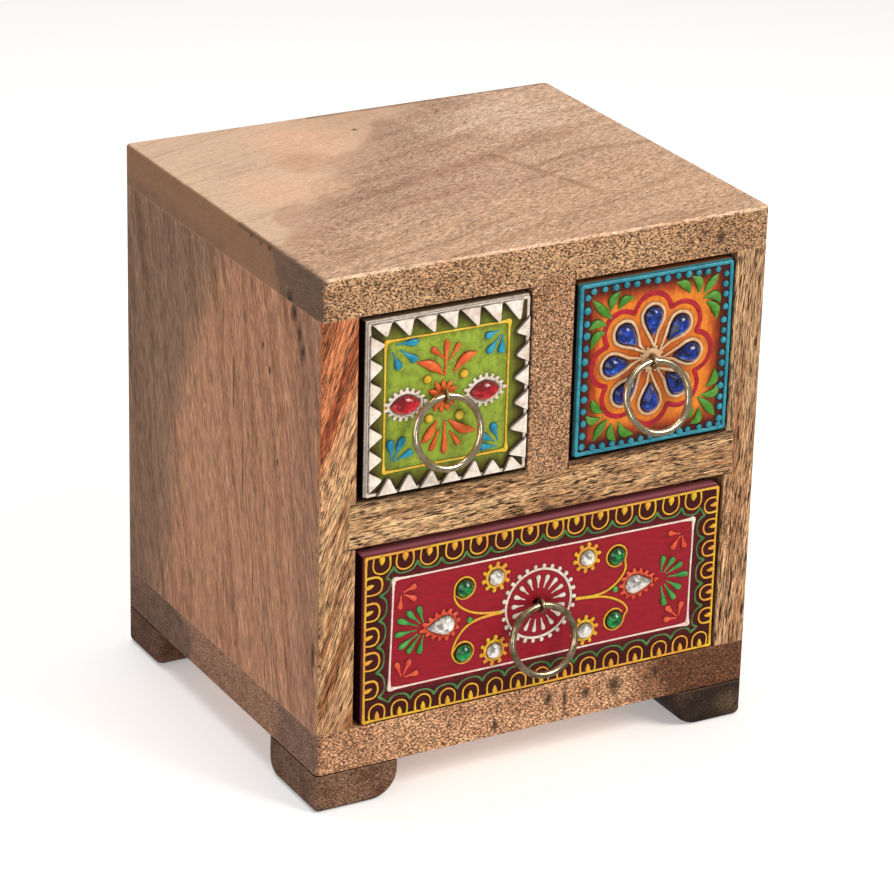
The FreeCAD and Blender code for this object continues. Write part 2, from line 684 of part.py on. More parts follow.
def make_pull_ring(drawer):
    """A brass ring that hangs in the eye and leans away from the painted relief below it."""
    lean = f"{drawer.name}_ring_angle"
    ring = doc.addObject("Part::Torus", drawer.node("pull_ring"))
    ring.Label = drawer.node("pull_ring")
    ring.setExpression("Radius1", sized("ring_radius"))
    ring.setExpression("Radius2", sized("ring_wire_radius"))
    ring.Placement = Placement(Vector(), Rotation(Vector(1, 0, 0), 90))
    ring.setExpression("Placement.Rotation.Angle", sized(f"90 - {lean}"))
    place = (
        drawer.pull_x,
        f"{FRONT} - {PIVOT_OUT} - ring_radius * sin({lean})",
        f"{drawer.pull_z} - ring_radius * cos({lean})",
    )
    for axis, formula in zip("xyz", place):
        ring.setExpression(f"Placement.Base.{axis}", sized(formula))
    return ring


# ---------------------------------------------------------------------------------------------
# Gems
# ---------------------------------------------------------------------------------------------
def round_outline(radius, corners):
    """Corners of a regular polygon, the outline of a round faceted gem."""
    turns = [360 * (k + 0.5) / corners for k in range(corners)]
    return [(f"{radius} * cos({turn})", f"{radius} * sin({turn})") for turn in turns]


# Outlines of the long gems, as shares of half the length and half the width
ALMOND_SHARES = [(1, 0), (0.55, 0.72), (0, 1), (-0.55, 0.72), (-1, 0), (-0.55, -0.72), (0, -1), (0.55, -0.72)]
TEARDROP_SHARES = [
    (-1, 0), (-0.45, -0.52), (0.05, -0.9), (0.5, -1), (0.85, -0.66), (1, -0.2),
    (1, 0.2), (0.85, 0.66), (0.5, 1), (0.05, 0.9), (-0.45, 0.52),
]


def long_outline(shares, length, width):
    """Corners of a long gem, with its point or first tip along the sketch's first axis."""
    return [(f"{across} * {length} / 2", f"{up} * {width} / 2") for across, up in shares]


def make_gem(drawer, name, spread, rise, outline, turn="0"):
    """A flat-backed faceted gem on the painted face: an upright girdle and a sloping crown.

    Spread and rise are from the middle of the painted pattern; the turn is in degrees.
    """
    place = (f"{drawer.pattern_x} + {spread}", FRONT, f"{drawer.middle_z} + {rise}")
    gem = new_body(drawer.node(name), place, Vector(0, -1, 0), turn)
    girdle = new_sketch(gem, "XZ_Plane", "girdle")
    draw_polygon(girdle, outline)
    add_pad(gem, girdle, "gem_girdle")
    crown = new_sketch(gem, "XZ_Plane", "crown", "gem_girdle")
    draw_polygon(crown, outline)
    add_pad(gem, crown, "gem_crown", "crown_angle")
    return gem


def make_almond_gems(drawer):
    """A red gem each side of the ring."""
    outline = long_outline(ALMOND_SHARES, "almond_length", "almond_width")
    return [
        make_gem(drawer, f"{hand}_gem", f"{sign} * almond_spread", "0", outline)
        for hand, sign in (("left", -1), ("right", 1))
    ]


def make_petal_gems(drawer):
    """Eight blue gems in a flower, with their points to the middle."""
    outline = long_outline(TEARDROP_SHARES, "petal_length", "petal_width")
    middle_out = "(petal_reach + petal_length / 2)"
    gems = []
    for number in range(8):
        turn = 45 * number
        gems.append(make_gem(
            drawer, f"petal_gem_{number + 1}",
            f"{middle_out} * cos({turn})", f"{middle_out} * sin({turn})", outline, str(turn),
        ))
    return gems


def make_lower_gems(drawer):
    """Clear and green round gems at the corners of the pattern and a clear drop gem at each end."""
    clear_outline = round_outline("clear_gem_radius", 10)
    green_outline = round_outline("green_gem_radius", 12)
    gems = []
    for hand, x_sign in (("left", -1), ("right", 1)):
        for level, z_sign in (("upper", 1), ("lower", -1)):
            gems.append(make_gem(
                drawer, f"{level}_{hand}_clear_gem",
                f"{x_sign} * clear_gem_spread", f"{z_sign} * clear_gem_rise", clear_outline,
            ))
            gems.append(make_gem(
                drawer, f"{level}_{hand}_green_gem",
                f"{x_sign} * green_gem_spread", f"{z_sign} * green_gem_rise", green_outline,
            ))
        gems.append(make_gem(
            drawer, f"{hand}_drop_gem", f"{x_sign} * (drop_spread + drop_length / 2)", "0",
            long_outline(TEARDROP_SHARES, "drop_length", "drop_width"), "180" if x_sign > 0 else "0",
        ))
    return gems


# ---------------------------------------------------------------------------------------------
# The whole chest
# ---------------------------------------------------------------------------------------------
def make_chest():
    """Every piece of the chest, each an object of the document with its own label."""
    pieces = [
        make_top_board(),
        make_bottom_board(FEET),
        make_side_panel("left_side_panel", LEFT, "left_side_thick", "x high"),
        make_side_panel("right_side_panel", INNER_RIGHT, "right_side_thick", "x low"),
        make_shelf(),
        make_divider(),
        make_back_panel(),
        make_back_nails(),
        make_foot_nails(),
    ]
    pieces += [make_foot(*foot) for foot in FEET]
    for drawer in DRAWERS:
        pieces += [
            make_drawer_front(drawer),
            make_drawer_side(drawer, "left"),
            make_drawer_side(drawer, "right"),
            make_drawer_back(drawer),
            make_drawer_bottom(drawer),
            make_pull_pin(drawer),
            make_pull_ring(drawer),
        ]
    left_drawer, right_drawer, lower_drawer = DRAWERS
    pieces += make_almond_gems(left_drawer)
    pieces += make_petal_gems(right_drawer)
    pieces += make_lower_gems(lower_drawer)
    return pieces


chest = make_chest()
doc.recompute()

failed = [item.Label for item in doc.Objects if "Invalid" in item.State or "Error" in item.State]
failed += [piece.Label for piece in chest if piece.Shape.isNull() or not piece.Shape.isValid()]
if failed:
    raise RuntimeError(f"failed objects: {failed}")

os.makedirs("parts", exist_ok=True)
for piece in chest:
    piece.Shape.exportStep(f"parts/{piece.Label}.step")
    print(f"{piece.Label:32s} {len(piece.Shape.Solids):3d} solids {piece.Shape.Volume:10.2f} mm3")
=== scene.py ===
import functools
import math
import random

import bmesh
import bpy
from mathutils import Matrix, Quaternion, Vector


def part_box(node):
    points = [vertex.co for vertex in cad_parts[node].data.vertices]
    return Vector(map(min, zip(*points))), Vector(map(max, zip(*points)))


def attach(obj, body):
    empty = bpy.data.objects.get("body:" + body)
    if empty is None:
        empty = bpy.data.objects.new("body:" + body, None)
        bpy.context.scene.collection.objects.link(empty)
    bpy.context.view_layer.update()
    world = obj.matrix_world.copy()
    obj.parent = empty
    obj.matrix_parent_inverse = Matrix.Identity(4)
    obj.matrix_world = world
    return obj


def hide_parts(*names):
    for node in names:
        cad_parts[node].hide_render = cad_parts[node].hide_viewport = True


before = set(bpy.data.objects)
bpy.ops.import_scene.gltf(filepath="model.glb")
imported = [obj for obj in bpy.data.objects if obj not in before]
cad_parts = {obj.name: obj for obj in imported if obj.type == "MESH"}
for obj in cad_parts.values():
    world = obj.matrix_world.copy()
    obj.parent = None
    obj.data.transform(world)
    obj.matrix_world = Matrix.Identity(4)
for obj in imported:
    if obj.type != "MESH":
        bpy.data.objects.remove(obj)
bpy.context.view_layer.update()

# ------------------------------------------------------------------------------------------------
# Studio: a floor of white paper under three soft boxes, the strongest high on the right, with a low
# reflector in front and a white surround. The camera stands a metre off, with a long lens and a slight roll.
# ------------------------------------------------------------------------------------------------
MM = 0.001
CAMERA_AIM = Vector((-8.59, -17.04, 84.26)) * MM
CAMERA_AZIMUTH = math.radians(-29.46)
CAMERA_ELEVATION = math.radians(23.02)
CAMERA_ROLL = math.radians(1.53)
CAMERA_DISTANCE = 1096.4 * MM
LAMP_AIM = Vector((0, 0, 70)) * MM

backwards = Vector((
    math.sin(CAMERA_AZIMUTH) * math.cos(CAMERA_ELEVATION),
    -math.cos(CAMERA_AZIMUTH) * math.cos(CAMERA_ELEVATION),
    math.sin(CAMERA_ELEVATION),
))
camera = bpy.data.objects.new("camera", bpy.data.cameras.new("camera"))
camera.data.sensor_width = 36
camera.data.lens = 155.4
camera.location = CAMERA_AIM + backwards * CAMERA_DISTANCE
camera.rotation_mode = "QUATERNION"
camera.rotation_quaternion = (
    (-backwards).to_track_quat("-Z", "Y") @ Quaternion((0, 0, 1), CAMERA_ROLL)
)
bpy.context.scene.collection.objects.link(camera)
bpy.context.scene.camera = camera
bpy.context.scene.view_settings.view_transform = "Standard"


def linear(colour):
    """Linear red, green, blue and alpha of an sRGB hex colour."""
    parts = [int(colour[k:k + 2], 16) / 255 for k in (1, 3, 5)]
    return [c / 12.92 if c <= 0.04045 else ((c + 0.055) / 1.055) ** 2.4 for c in parts] + [1.0]


def fill_sockets(node, sockets):
    """Gives sockets of a node their values: a number, a hex colour, or a node or a socket that leads to them.

    From and To each stand for a pair of sockets, the least and the greatest value of a range.
    """
    for name, value in sockets.items():
        if name in ("From", "To"):
            fill_sockets(node, {f"{name} Min": value[0], f"{name} Max": value[1]})
            continue
        if isinstance(value, bpy.types.Node):
            value = value.outputs[0]
        if isinstance(value, bpy.types.NodeSocket):
            node.id_data.links.new(value, node.inputs[name])
        else:
            node.inputs[name].default_value = linear(value) if isinstance(value, str) else value


def add_node(tree, kind, sockets=None, stops=(), **settings):
    """One shader node with its settings, its sockets and the stops of its ramp."""
    node = tree.nodes.new("ShaderNode" + kind)
    for name, value in settings.items():
        setattr(node, name, value)
    fill_sockets(node, sockets or {})
    for number, (position, colour) in enumerate(stops):
        ramp = node.color_ramp.elements
        stop = ramp[number] if number < len(ramp) else ramp.new(position)
        stop.position = position
        stop.color = linear(colour)
    return node


def new_material(name):
    """A named material, the function that adds nodes to it, and its principled shader."""
    material = bpy.data.materials.new(name)
    material.use_nodes = True
    tree = material.node_tree
    return material, functools.partial(add_node, tree), tree.nodes["Principled BSDF"]


sweep = bmesh.new()
bmesh.ops.create_grid(sweep, x_segments=1, y_segments=1, size=3)
floor = bpy.data.objects.new("floor", bpy.data.meshes.new("floor"))
sweep.to_mesh(floor.data)
sweep.free()
bpy.context.scene.collection.objects.link(floor)
# matt paper shows no gloss, and glows a little so that it stays white all round the chest
paper, _, paper_shader = new_material("matt white paper")
fill_sockets(paper_shader, {
    "Base Color": "#f6f5f3", "Roughness": 0.9, "Emission Color": "#ffffff", "Emission Strength": 0.3,
})
floor.data.materials.append(paper)
floor.visible_glossy = False

# where each lamp stands in metres, how wide it is, its power in watts, and its colour
for name, place, width, power, colour in (
    ("high right soft box", (0.5, -0.72, 0.8), 0.52, 9.2, "#fffaf2"),
    ("left soft box", (-0.95, -0.45, 0.4), 0.7, 2.3, "#f6f8ff"),
    ("overhead soft box", (-0.1, 0.2, 1.0), 0.5, 5.0, "#ffffff"),
    ("low front reflector", (-0.25, -1.0, 0.1), 0.2, 0.6, "#fffaf0"),
):
    lamp = bpy.data.objects.new(name, bpy.data.lights.new(name, "AREA"))
    lamp.data.shape = "SQUARE"
    lamp.data.size = width
    lamp.data.energy = power
    lamp.data.color = linear(colour)[:3]
    lamp.location = place
    lamp.rotation_mode = "QUATERNION"
    lamp.rotation_quaternion = (LAMP_AIM - lamp.location).to_track_quat("-Z", "Y")
    bpy.context.scene.collection.objects.link(lamp)
world = bpy.data.worlds.new("white surround")
world.use_nodes = True
fill_sockets(world.node_tree.nodes["Background"], {"Color": "#fbfaf8", "Strength": 0.3})
bpy.context.scene.world = world

# ------------------------------------------------------------------------------------------------
# Carcass: solid mango wood, sawn, sanded and wiped with a satin wax. Each board is cut another way,
# so its vessels show as long dashes along the grain and as specks where the grain runs out of the face.
# ------------------------------------------------------------------------------------------------


def mango_wood(
    name, tone, grain, edge_grain=None, zones=(), specks=(), knots=(), calm=None, dash=0.14, flecks=0.4,
    lines=0.0, wavy=10.0, *, pores, streaks, seed,
):
    """Mango wood with its grain along X once turned by the given degrees, or by others on its front edge.

    A zone is (colour, strength, softness, wobble, bounds): it shows inside every bound, either a plane, as
    a direction and a distance in mm, or a ball, as its centre, its radius and a 1. Specks, as (strength,
    bounds), are vessels cut across. calm, as (strength, bounds), is where the figure is weak. A knot is
    (x, y, z, radius, stretch upwards) in mm, and a long thin one is a dark streak. pores, flecks, streaks
    and lines are the strength of vessels, of light and dark flecks, of growth bands and of dark growth
    lines. The lower dash is, the longer are vessels and flecks. wavy is how far in mm the grain strays from
    straight, and seed picks another part of the log.
    """
    material, add, shader = new_material(name)
    spot = add("Mapping", {"Vector": add("TexCoord").outputs["Object"], "Scale": (1 / MM,) * 3})
    turned = add("Mapping", {
        "Vector": spot, "Rotation": [math.radians(turn) for turn in grain],
        "Location": (seed * 37.0, seed * 11.0, seed * 5.0),
    })
    if edge_grain:
        depth = add("SeparateXYZ", {"Vector": spot}).outputs["Y"]
        edge = add("MapRange", {"Value": depth, "From": (-56.5, -56.0)})
        slanted = add("Mapping", {
            "Vector": spot, "Rotation": [math.radians(turn) for turn in edge_grain],
            "Location": (seed * 37.0, 0.0, 0.0),
        })
        turned = add("MixRGB", {"Fac": edge, "Color1": slanted, "Color2": turned})
    sway = add("TexNoise", {"Vector": turned, "Scale": 0.02, "Detail": 2.0}).outputs["Color"]
    sway = add("VectorMath", {0: sway, 1: (0.5, 0.5, 0.5)}, operation="SUBTRACT")
    sway = add("VectorMath", {0: sway, 1: (0.0, wavy, wavy)}, operation="MULTIPLY")
    along = add("VectorMath", {0: turned, 1: sway}, operation="ADD")

    # patterns drawn out along the grain, with their steps per mm along it and across it: bands are 5 mm wide,
    # fibres 0.4 mm, and vessels of 0.1 to 0.2 mm are drawn up to 0.5 mm wide, or they wouldn't show
    figure = {}
    for pattern, length, width, detail, roughness in (
        ("ragged edge", 0.055, 0.08, 7.0, 0.68),
        ("bands", 0.008, 0.2, 6.0, 0.68),
        ("growth lines", 0.004, 0.11, 2.0, 0.5),
        ("fibres", 0.09, 2.2, 4.0, 0.7),
        ("flecks", 3.2 * dash, 2.5, 3.0, 0.7),
        ("wide vessels", 2.3 * dash, 2.3, 1.5, 0.6),
        ("thin vessels", 4.4 * dash, 4.4, 1.5, 0.6),
    ):
        drawn_out = add("Mapping", {"Vector": along, "Scale": (length, width, width)})
        figure[pattern] = add("TexNoise", {
            "Vector": drawn_out, "Scale": 1.0, "Detail": detail, "Roughness": roughness,
        })
    wobble = add("Math", {0: figure["ragged edge"], 1: 0.5}, operation="SUBTRACT")

    def within(bounds, softness, reach, strength):
        """A mask for what lies inside every bound: its edge is softness mm soft and strays by reach mm."""
        inside = None
        for x, y, z, distance, *ball in bounds:
            operation = "DISTANCE" if ball else "DOT_PRODUCT"
            measure = add("VectorMath", {0: spot, 1: (x, y, z)}, operation=operation).outputs["Value"]
            first, second = (distance, measure) if ball else (measure, distance)
            depth = add("Math", {0: first, 1: second}, operation="SUBTRACT")
            if inside is not None:
                depth = add("Math", {0: depth, 1: inside}, operation="MINIMUM")
            inside = depth
        inside = add("Math", {0: wobble, 1: 2.0 * reach, 2: inside}, operation="MULTIPLY_ADD")
        return add("MapRange", {
            "Value": inside, "From": (-softness, softness), "To": (0.0, strength),
        }, interpolation_type="SMOOTHSTEP")

    colour = tone
    for shade, strength, softness, reach, bounds in zones:
        mask = within(bounds, softness, reach, strength)
        colour = add("MixRGB", {"Fac": mask, "Color1": colour, "Color2": shade})
    lively = 1.0
    if calm:
        strength, bounds = calm
        lively = add("Math", {0: 1.0, 1: within(bounds, 8.0, 8.0, strength)}, operation="SUBTRACT")

    # growth bands and thin dark growth lines, then the light and dark of fibres and flecks
    band = add("MapRange", {
        "Value": figure["bands"], "From": (0.42, 0.66), "To": (0.0, streaks),
    }, interpolation_type="SMOOTHSTEP")
    band = add("Math", {0: band, 1: lively}, operation="MULTIPLY")
    colour = add("MixRGB", {"Fac": band, "Color1": colour, "Color2": "#b8957c"}, blend_type="MULTIPLY")
    line = add("Math", {0: figure["growth lines"], 1: 0.5}, operation="SUBTRACT")
    line = add("Math", {0: line}, operation="ABSOLUTE")
    line = add("MapRange", {"Value": line, "From": (0.003, 0.016), "To": (lines, 0.0)})
    colour = add("MixRGB", {"Fac": line, "Color1": colour, "Color2": "#5b4030"})
    fibres = figure["fibres"]
    light = add("MapRange", {"Value": fibres, "From": (0.3, 0.7), "To": (-0.2, 0.2)})
    fleck = add("MapRange", {"Value": figure["flecks"], "From": (0.34, 0.66), "To": (-flecks, flecks)})
    light = add("Math", {0: light, 1: fleck}, operation="ADD")
    light = add("Math", {0: light, 1: lively, 2: 1.0}, operation="MULTIPLY_ADD")
    colour = add("VectorMath", {0: colour, "Scale": light}, operation="SCALE")

    # vessels, which show as dashes along the grain and as specks where they are cut across
    wide = add("MapRange", {"Value": figure["wide vessels"], "From": (0.57, 0.62), "To": (0.0, pores)})
    thin = add("MapRange", {"Value": figure["thin vessels"], "From": (0.56, 0.63), "To": (0.0, 0.85 * pores)})
    vessels = add("Math", {0: thin, 1: wide}, operation="MAXIMUM")
    vessels = add("Math", {0: vessels, 1: lively}, operation="MULTIPLY")
    for strength, bounds in specks:
        cut = add("Mapping", {"Vector": spot, "Rotation": (0, 0.5, 0), "Scale": (1.3, 2.1, 2.1)})
        cut = add("TexNoise", {"Vector": cut, "Scale": 1.0, "Detail": 2.5, "Roughness": 0.65})
        mask = within(bounds, 0.4, 0.2, strength)
        pale = add("MapRange", {"Value": cut, "From": (0.36, 0.54), "To": (1.45, 0.8)})
        pale = add("VectorMath", {0: colour, "Scale": pale}, operation="SCALE")
        colour = add("MixRGB", {"Fac": mask, "Color1": colour, "Color2": pale})
        cut = add("MapRange", {"Value": cut, "From": (0.515, 0.58)})
        cut = add("Math", {0: cut, 1: mask}, operation="MULTIPLY")
        vessels = add("Math", {0: cut, 1: vessels}, operation="MAXIMUM")
    colour = add("MixRGB", {"Fac": vessels, "Color1": colour, "Color2": "#38210f"})

    for x, y, z, radius, stretch in knots:
        offset = add("VectorMath", {0: spot, 1: (x, y, z)}, operation="SUBTRACT")
        offset = add("VectorMath", {0: offset, 1: (1.0, 1.0, 1.0 / stretch)}, operation="MULTIPLY")
        away = add("VectorMath", {0: offset}, operation="LENGTH").outputs["Value"]
        ragged = add("TexNoise", {"Vector": spot, "Scale": 0.6, "Detail": 3.0})
        away = add("Math", {0: ragged, 1: radius, 2: away}, operation="MULTIPLY_ADD")
        mask = add("MapRange", {"Value": away, "From": (0.75 * radius, 1.7 * radius), "To": (0.92, 0.0)})
        colour = add("MixRGB", {"Fac": mask, "Color1": colour, "Color2": "#3a2718"})

    # arrises paler, partly rubbed by handling and partly a painted highlight, and joints and recesses darker,
    # partly from wax and dust and partly painted shade
    rounded = add("Bevel", {"Radius": 0.8 * MM}, samples=4)
    facing = add("NewGeometry").outputs["Normal"]
    rubbed_and_highlit = add("VectorMath", {0: rounded, 1: facing}, operation="DOT_PRODUCT").outputs["Value"]
    rubbed_and_highlit = add("MapRange", {"Value": rubbed_and_highlit, "From": (0.75, 0.98), "To": (0.18, 0.0)})
    colour = add("MixRGB", {"Fac": rubbed_and_highlit, "Color1": colour, "Color2": "#d8b393"})
    dirt_and_shade = add("AmbientOcclusion", {"Distance": 1.6 * MM}, samples=6).outputs["AO"]
    dirt_and_shade = add("MapRange", {"Value": dirt_and_shade, "From": (0.25, 0.9), "To": (0.85, 0.0)})
    colour = add("MixRGB", {"Fac": dirt_and_shade, "Color1": colour, "Color2": "#24160f"})

    gloss = add("MapRange", {"Value": fibres, "To": (0.46, 0.68)})
    relief = add("Math", {0: vessels, 1: -1.3, 2: fibres}, operation="MULTIPLY_ADD")
    relief = add("Bump", {"Height": relief, "Strength": 0.45, "Distance": 0.14 * MM})
    fill_sockets(shader, {
        "Base Color": colour, "Roughness": gloss, "Normal": relief, "Specular IOR Level": 0.25,
    })
    return material


def finish_node(node, material):
    """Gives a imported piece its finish."""
    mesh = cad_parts[node].data
    mesh.materials.clear()
    mesh.materials.append(material)


# how the grain is turned, in degrees, then bounds for what lies on the boards' front edges and behind them,
# each number 8 times over, which makes a zone's soft rim there 8 times as narrow
ALONG_X = (0, 0, 0)
UPRIGHT = (0, 90, 0)
FRONT_EDGE = (0, -8, 0, 449)
BEHIND_EDGE = (0, 8, 0, -449)
finish_node("top_board", mango_wood(
    "waxed mango wood, flat sawn with heartwood", "#ccab90", (0, 0, -18), pores=0.42, dash=0.16, flecks=0.54,
    streaks=0.4, calm=(0.7, [(-0.74, 0.673, 0, 27.0)]), lines=0.15, seed=1,
    zones=[
        # clouds of sapwood
        ("#d9ab8e", 0.7, 9.0, 9.0, [(-22.0, 46.0, 158, 14.0, 1)]),
        ("#d9ab8e", 0.6, 9.0, 9.0, [(-48.0, 12.0, 158, 11.0, 1)]),
        ("#c09c80", 0.9, 12.0, 12.0, [(0.9, 0.43, 0, 14.0)]),
        ("#d3b197", 0.9, 4.0, 7.0, [(0.15, 0.99, 0, 36.0), (1, 0, 0, 11.0)]),
        ("#cba88c", 0.7, 4.0, 5.0, [(1, 0, 0, 55.0)]),
        ("#bd8f72", 0.65, 5.0, 6.0, [(-31.0, 31.0, 158, 8.0, 1)]),
        # heartwood, which has a sharp border, and the clouds about it
        ("#bc977d", 0.95, 1.2, 4.0, [(0.755, -0.656, 0, -32.0), (-0.93, -0.37, 0, -24.0)]),
        ("#bc977d", 0.95, 1.2, 3.0, [(-16.5, 24.0, 158, 9.0, 1)]),
        ("#bc977d", 0.95, 1.2, 3.0, [(-50.0, -12.0, 158, 11.0, 1)]),
        ("#a98870", 0.9, 1.2, 2.5, [(3.6, 42.0, 158, 6.8, 1)]),
        ("#a98870", 0.9, 1.2, 2.5, [(6.0, 50.0, 158, 4.8, 1)]),
        ("#b08d74", 0.7, 7.0, 6.0, [(0.755, -0.656, 0, -31.0), (-0.755, 0.656, 0, 9.0), (0, 1, 0, -16.0)]),
        ("#c49f81", 0.8, 10.0, 8.0, [(0.2, -0.98, 0, 18.0)]),
        ("#c8a284", 0.9, 1.5, 3.0, [(-34.0, 6.0, 158, 6.5, 1)]),
        ("#b08b6f", 0.6, 4.0, 5.0, [(-56.0, -34.0, 158, 10.0, 1)]),
        # three growth lines
        ("#8f694c", 0.45, 0.9, 1.6, [
            (0.957, 0.29, 0, 22.8), (-0.957, -0.29, 0, -25.2), (0, -1, 0, -14.0), (0, 1, 0, -28.0),
        ]),
        ("#8f694c", 0.5, 1.1, 1.6, [
            (-0.346, 0.938, 0, -10.7), (0.346, -0.938, 0, 8.3), (1, 0, 0, 25.0), (-1, 0, 0, -48.0),
        ]),
        ("#8f694c", 0.5, 1.1, 1.6, [(0.093, 0.996, 0, 10.5), (-0.093, -0.996, 0, -12.9), (1, 0, 0, 46.0)]),
        # the rear arris, the front edge with its upper arris paler, partly worn and partly a painted
        # highlight, and the stained left end
        ("#7d5c45", 0.95, 1.0, 1.5, [(0, 0.6, 0.8, 165.7), (1, 0, 0, -12.0)]),
        ("#b9916b", 1.0, 4.0, 0.3, [FRONT_EDGE]),
        ("#8a6342", 0.4, 8.0, 6.0, [FRONT_EDGE, (55.0, -57.0, 152.0, 12.0, 1)]),
        ("#f0c6a6", 0.85, 0.4, 0.3, [(0, -1, 0, 56.3), (0, 0, 1, 157.3)]),
        ("#92694c", 1.0, 0.5, 0.2, [(-1, 0, 0, 69.4)]),
        ("#6d5544", 0.95, 1.6, 3.0, [(-1, 0, 0, 69.0), (0, -0.921, 0.389, 87.0)]),
        ("#7d5f4a", 0.6, 1.5, 3.0, [(-1, 0, 0, 69.0), (0, 0, -1, -149.5), (0, 1, 0, 0.0)]),
        ("#49331f", 0.5, 0.35, 1.6, [(-1, 0, 0, 68.9), (0, 0, 1, 157.0), (0, -1, 0, 7.0), (0, 1, 0, -28.0)]),
    ],
    specks=[(0.95, [(0, -1, 0, 56.4), (0, 0, -1, -157.3)])],
    knots=[
        (54, -57, 151.4, 2.0, 1.3), (-35.5, -57, 149.6, 0.9, 1.4), (-70, -38.6, 146.8, 1.9, 1.6),
        (-4.3, 50.2, 158, 1.0, 1), (-70, -26.5, 156.8, 1.1, 0.8), (-70, -15.2, 156.8, 0.9, 0.6),
        (-70, -21, 156.4, 0.7, 0.8),
    ],
))
finish_node("left_side_panel", mango_wood(
    "waxed mango wood, upright left panel", "#bb8765", (13, 90, 0), (0, 71, 0), pores=0.65, dash=0.065,
    flecks=1.0, calm=(0.5, [BEHIND_EDGE]), streaks=1.0, lines=0.4, wavy=5.0, seed=2,
    zones=[
        # dark clouds, then the front edge with its orange top and two slanting bands
        ("#906e55", 0.9, 8.0, 8.0, [(0, 0.866, 0.5, 74.0)]),
        ("#906e55", 0.9, 7.0, 8.0, [(0, 0.993, 0.12, 44.0)]),
        ("#7c5d45", 0.5, 12.0, 8.0, [(0, 0.8, -0.6, 26.0)]),
        ("#9a7259", 0.5, 6.0, 6.0, [(0, -1, 0, 42.0)]),
        ("#c69c70", 0.95, 4.0, 0.5, [FRONT_EDGE]),
        ("#bd7045", 0.95, 2.6, 3.0, [FRONT_EDGE, (-0.923, 0, 0.382, 102.3)]),
        ("#c99269", 0.6, 1.2, 1.5, [FRONT_EDGE, (-0.923, 0, 0.382, 97.5), (0.923, 0, -0.382, -101.0)]),
        ("#8a603c", 0.6, 1.4, 2.5, [FRONT_EDGE, (-0.956, 0, 0.292, 82.0), (0.956, 0, -0.292, -85.0)]),
    ],
    knots=[
        (-70, -41.3, 143.6, 2.2, 1.7), (-70, -44.6, 138.9, 1.6, 2.2), (-70, -46.3, 134.0, 1.9, 1.7),
        (-70, -22.7, 127.8, 0.8, 2.2), (-70, -27.0, 122.0, 0.9, 1.5), (-70, -32.1, 96.7, 0.7, 1.5),
        (-70, -28.9, 104.0, 0.5, 2.2), (-70, -54.4, 48.0, 1.3, 4.5), (-70, 2.0, 128.0, 0.3, 22.0),
        (-70, -4.6, 109.0, 0.35, 26.0), (-70, -10.6, 84.0, 0.35, 26.0), (-70, -17.0, 55.0, 0.3, 24.0),
    ],
))
finish_node("right_side_panel", mango_wood(
    "waxed mango wood, upright right panel", "#c59b72", UPRIGHT, (0, 86.5, 0), pores=1.1, dash=0.065,
    flecks=0.75, streaks=0.8, lines=0.3, wavy=4.0, seed=3,
    zones=[("#b58f69", 0.9, 14.0, 5.0, [(0, 0, 1, 92.0)])],
    specks=[(0.5, [(57.0, -57.0, 62.0, 8.0, 1)])],
))
finish_node("middle_shelf", mango_wood(
    "waxed mango wood, quarter sawn", "#c8a174", (0, 3, -3), pores=1.2, dash=0.075, flecks=0.75, streaks=0.8,
    lines=0.25, wavy=3.0, seed=4,
    zones=[("#745638", 0.75, 0.5, 0.9, [(0, 0, 1, 90.6)])],
    knots=[(1.7, -57, 79.0, 1.9, 1.0), (-57.1, -57, 89.2, 1.3, 0.7), (-51.8, -57, 87.4, 1.2, 0.6)],
))
finish_node("centre_divider", mango_wood(
    "waxed mango wood, short grained divider", "#be916c", (0, 48, 35), pores=0.9, dash=0.2, flecks=0.7,
    streaks=0.3, seed=5, specks=[(0.85, [(0, -1, 0, 56.4)])],
))
finish_node("bottom_board", mango_wood(
    "waxed mango wood, bottom board", "#d6a27a", (0, 0, -25), pores=0.7, dash=0.2, flecks=0.85,
    streaks=0.4, seed=6,
    zones=[
        # both ends of the board are darker, and the left one is stained
        ("#c28f69", 0.9, 5.0, 4.0, [(-1, 0, 0, 57.0)]),
        ("#8a5a3a", 0.8, 5.0, 8.0, [(1, 0, 0.3, 38.0)]),
        ("#70452a", 0.95, 2.5, 5.0, [(1, 0, 0.4, 49.0)]),
        ("#7d6151", 0.9, 1.0, 1.0, [(-1, 0, 0, 69.0), (0, -1, 0, 30.0)]),
        ("#9d745c", 0.9, 1.0, 1.0, [(-1, 0, 0, 69.0), (0, 1, 0, -34.0)]),
        ("#6f5445", 0.9, 2.0, 3.0, [(-1, 0, 0, 69.0), (0, 1, 0, 24.0), (0, 0.3, -1, -14.0)]),
    ],
    specks=[(0.8, [(0, -1, 0, 56.4)])],
    knots=[
        (4.0, -57, 19.7, 1.6, 1.7), (9.4, -57, 18.5, 0.8, 7.0), (16.5, -57, 18.9, 1.5, 1.4),
        (25.8, -57, 19.1, 2.7, 1.3), (-13.3, -57, 15.2, 1.0, 2.4), (39.7, -57, 20.6, 1.7, 1.5),
    ],
))
finish_node("back_panel", mango_wood(
    "mango wood, plain back", "#a67f60", UPRIGHT, pores=0.5, streaks=0.5, seed=7,
))
for corner, tone, dark, pale, x, y, seed in (
    ("front_left", "#7b5a44", "#4c3628", "#9a7356", -60, -57, 8),
    ("front_right", "#523c2e", "#2e211a", "#7d6a50", 65, -57, 9),
    ("rear_left", "#6b4835", "#4a3023", "#7d5843", -70, 60, 10),
    ("rear_right", "#6e4f3b", "#4a3627", "#83624c", 70, 60, 11),
):
    finish_node(f"foot_{corner}", mango_wood(
        f"dark waxed mango wood, {corner.replace('_', ' ')} foot", tone, (0, 20, -35), pores=0.7, flecks=1.1,
        dash=0.3, streaks=0.8, seed=seed,
        zones=[(dark, 0.9, 4.0, 9.0, [(0.3, 0.2, -0.9, -6.0)]), (pale, 0.5, 3.0, 6.0, [(x, y, 4.5, 3.5, 1)])],
    ))

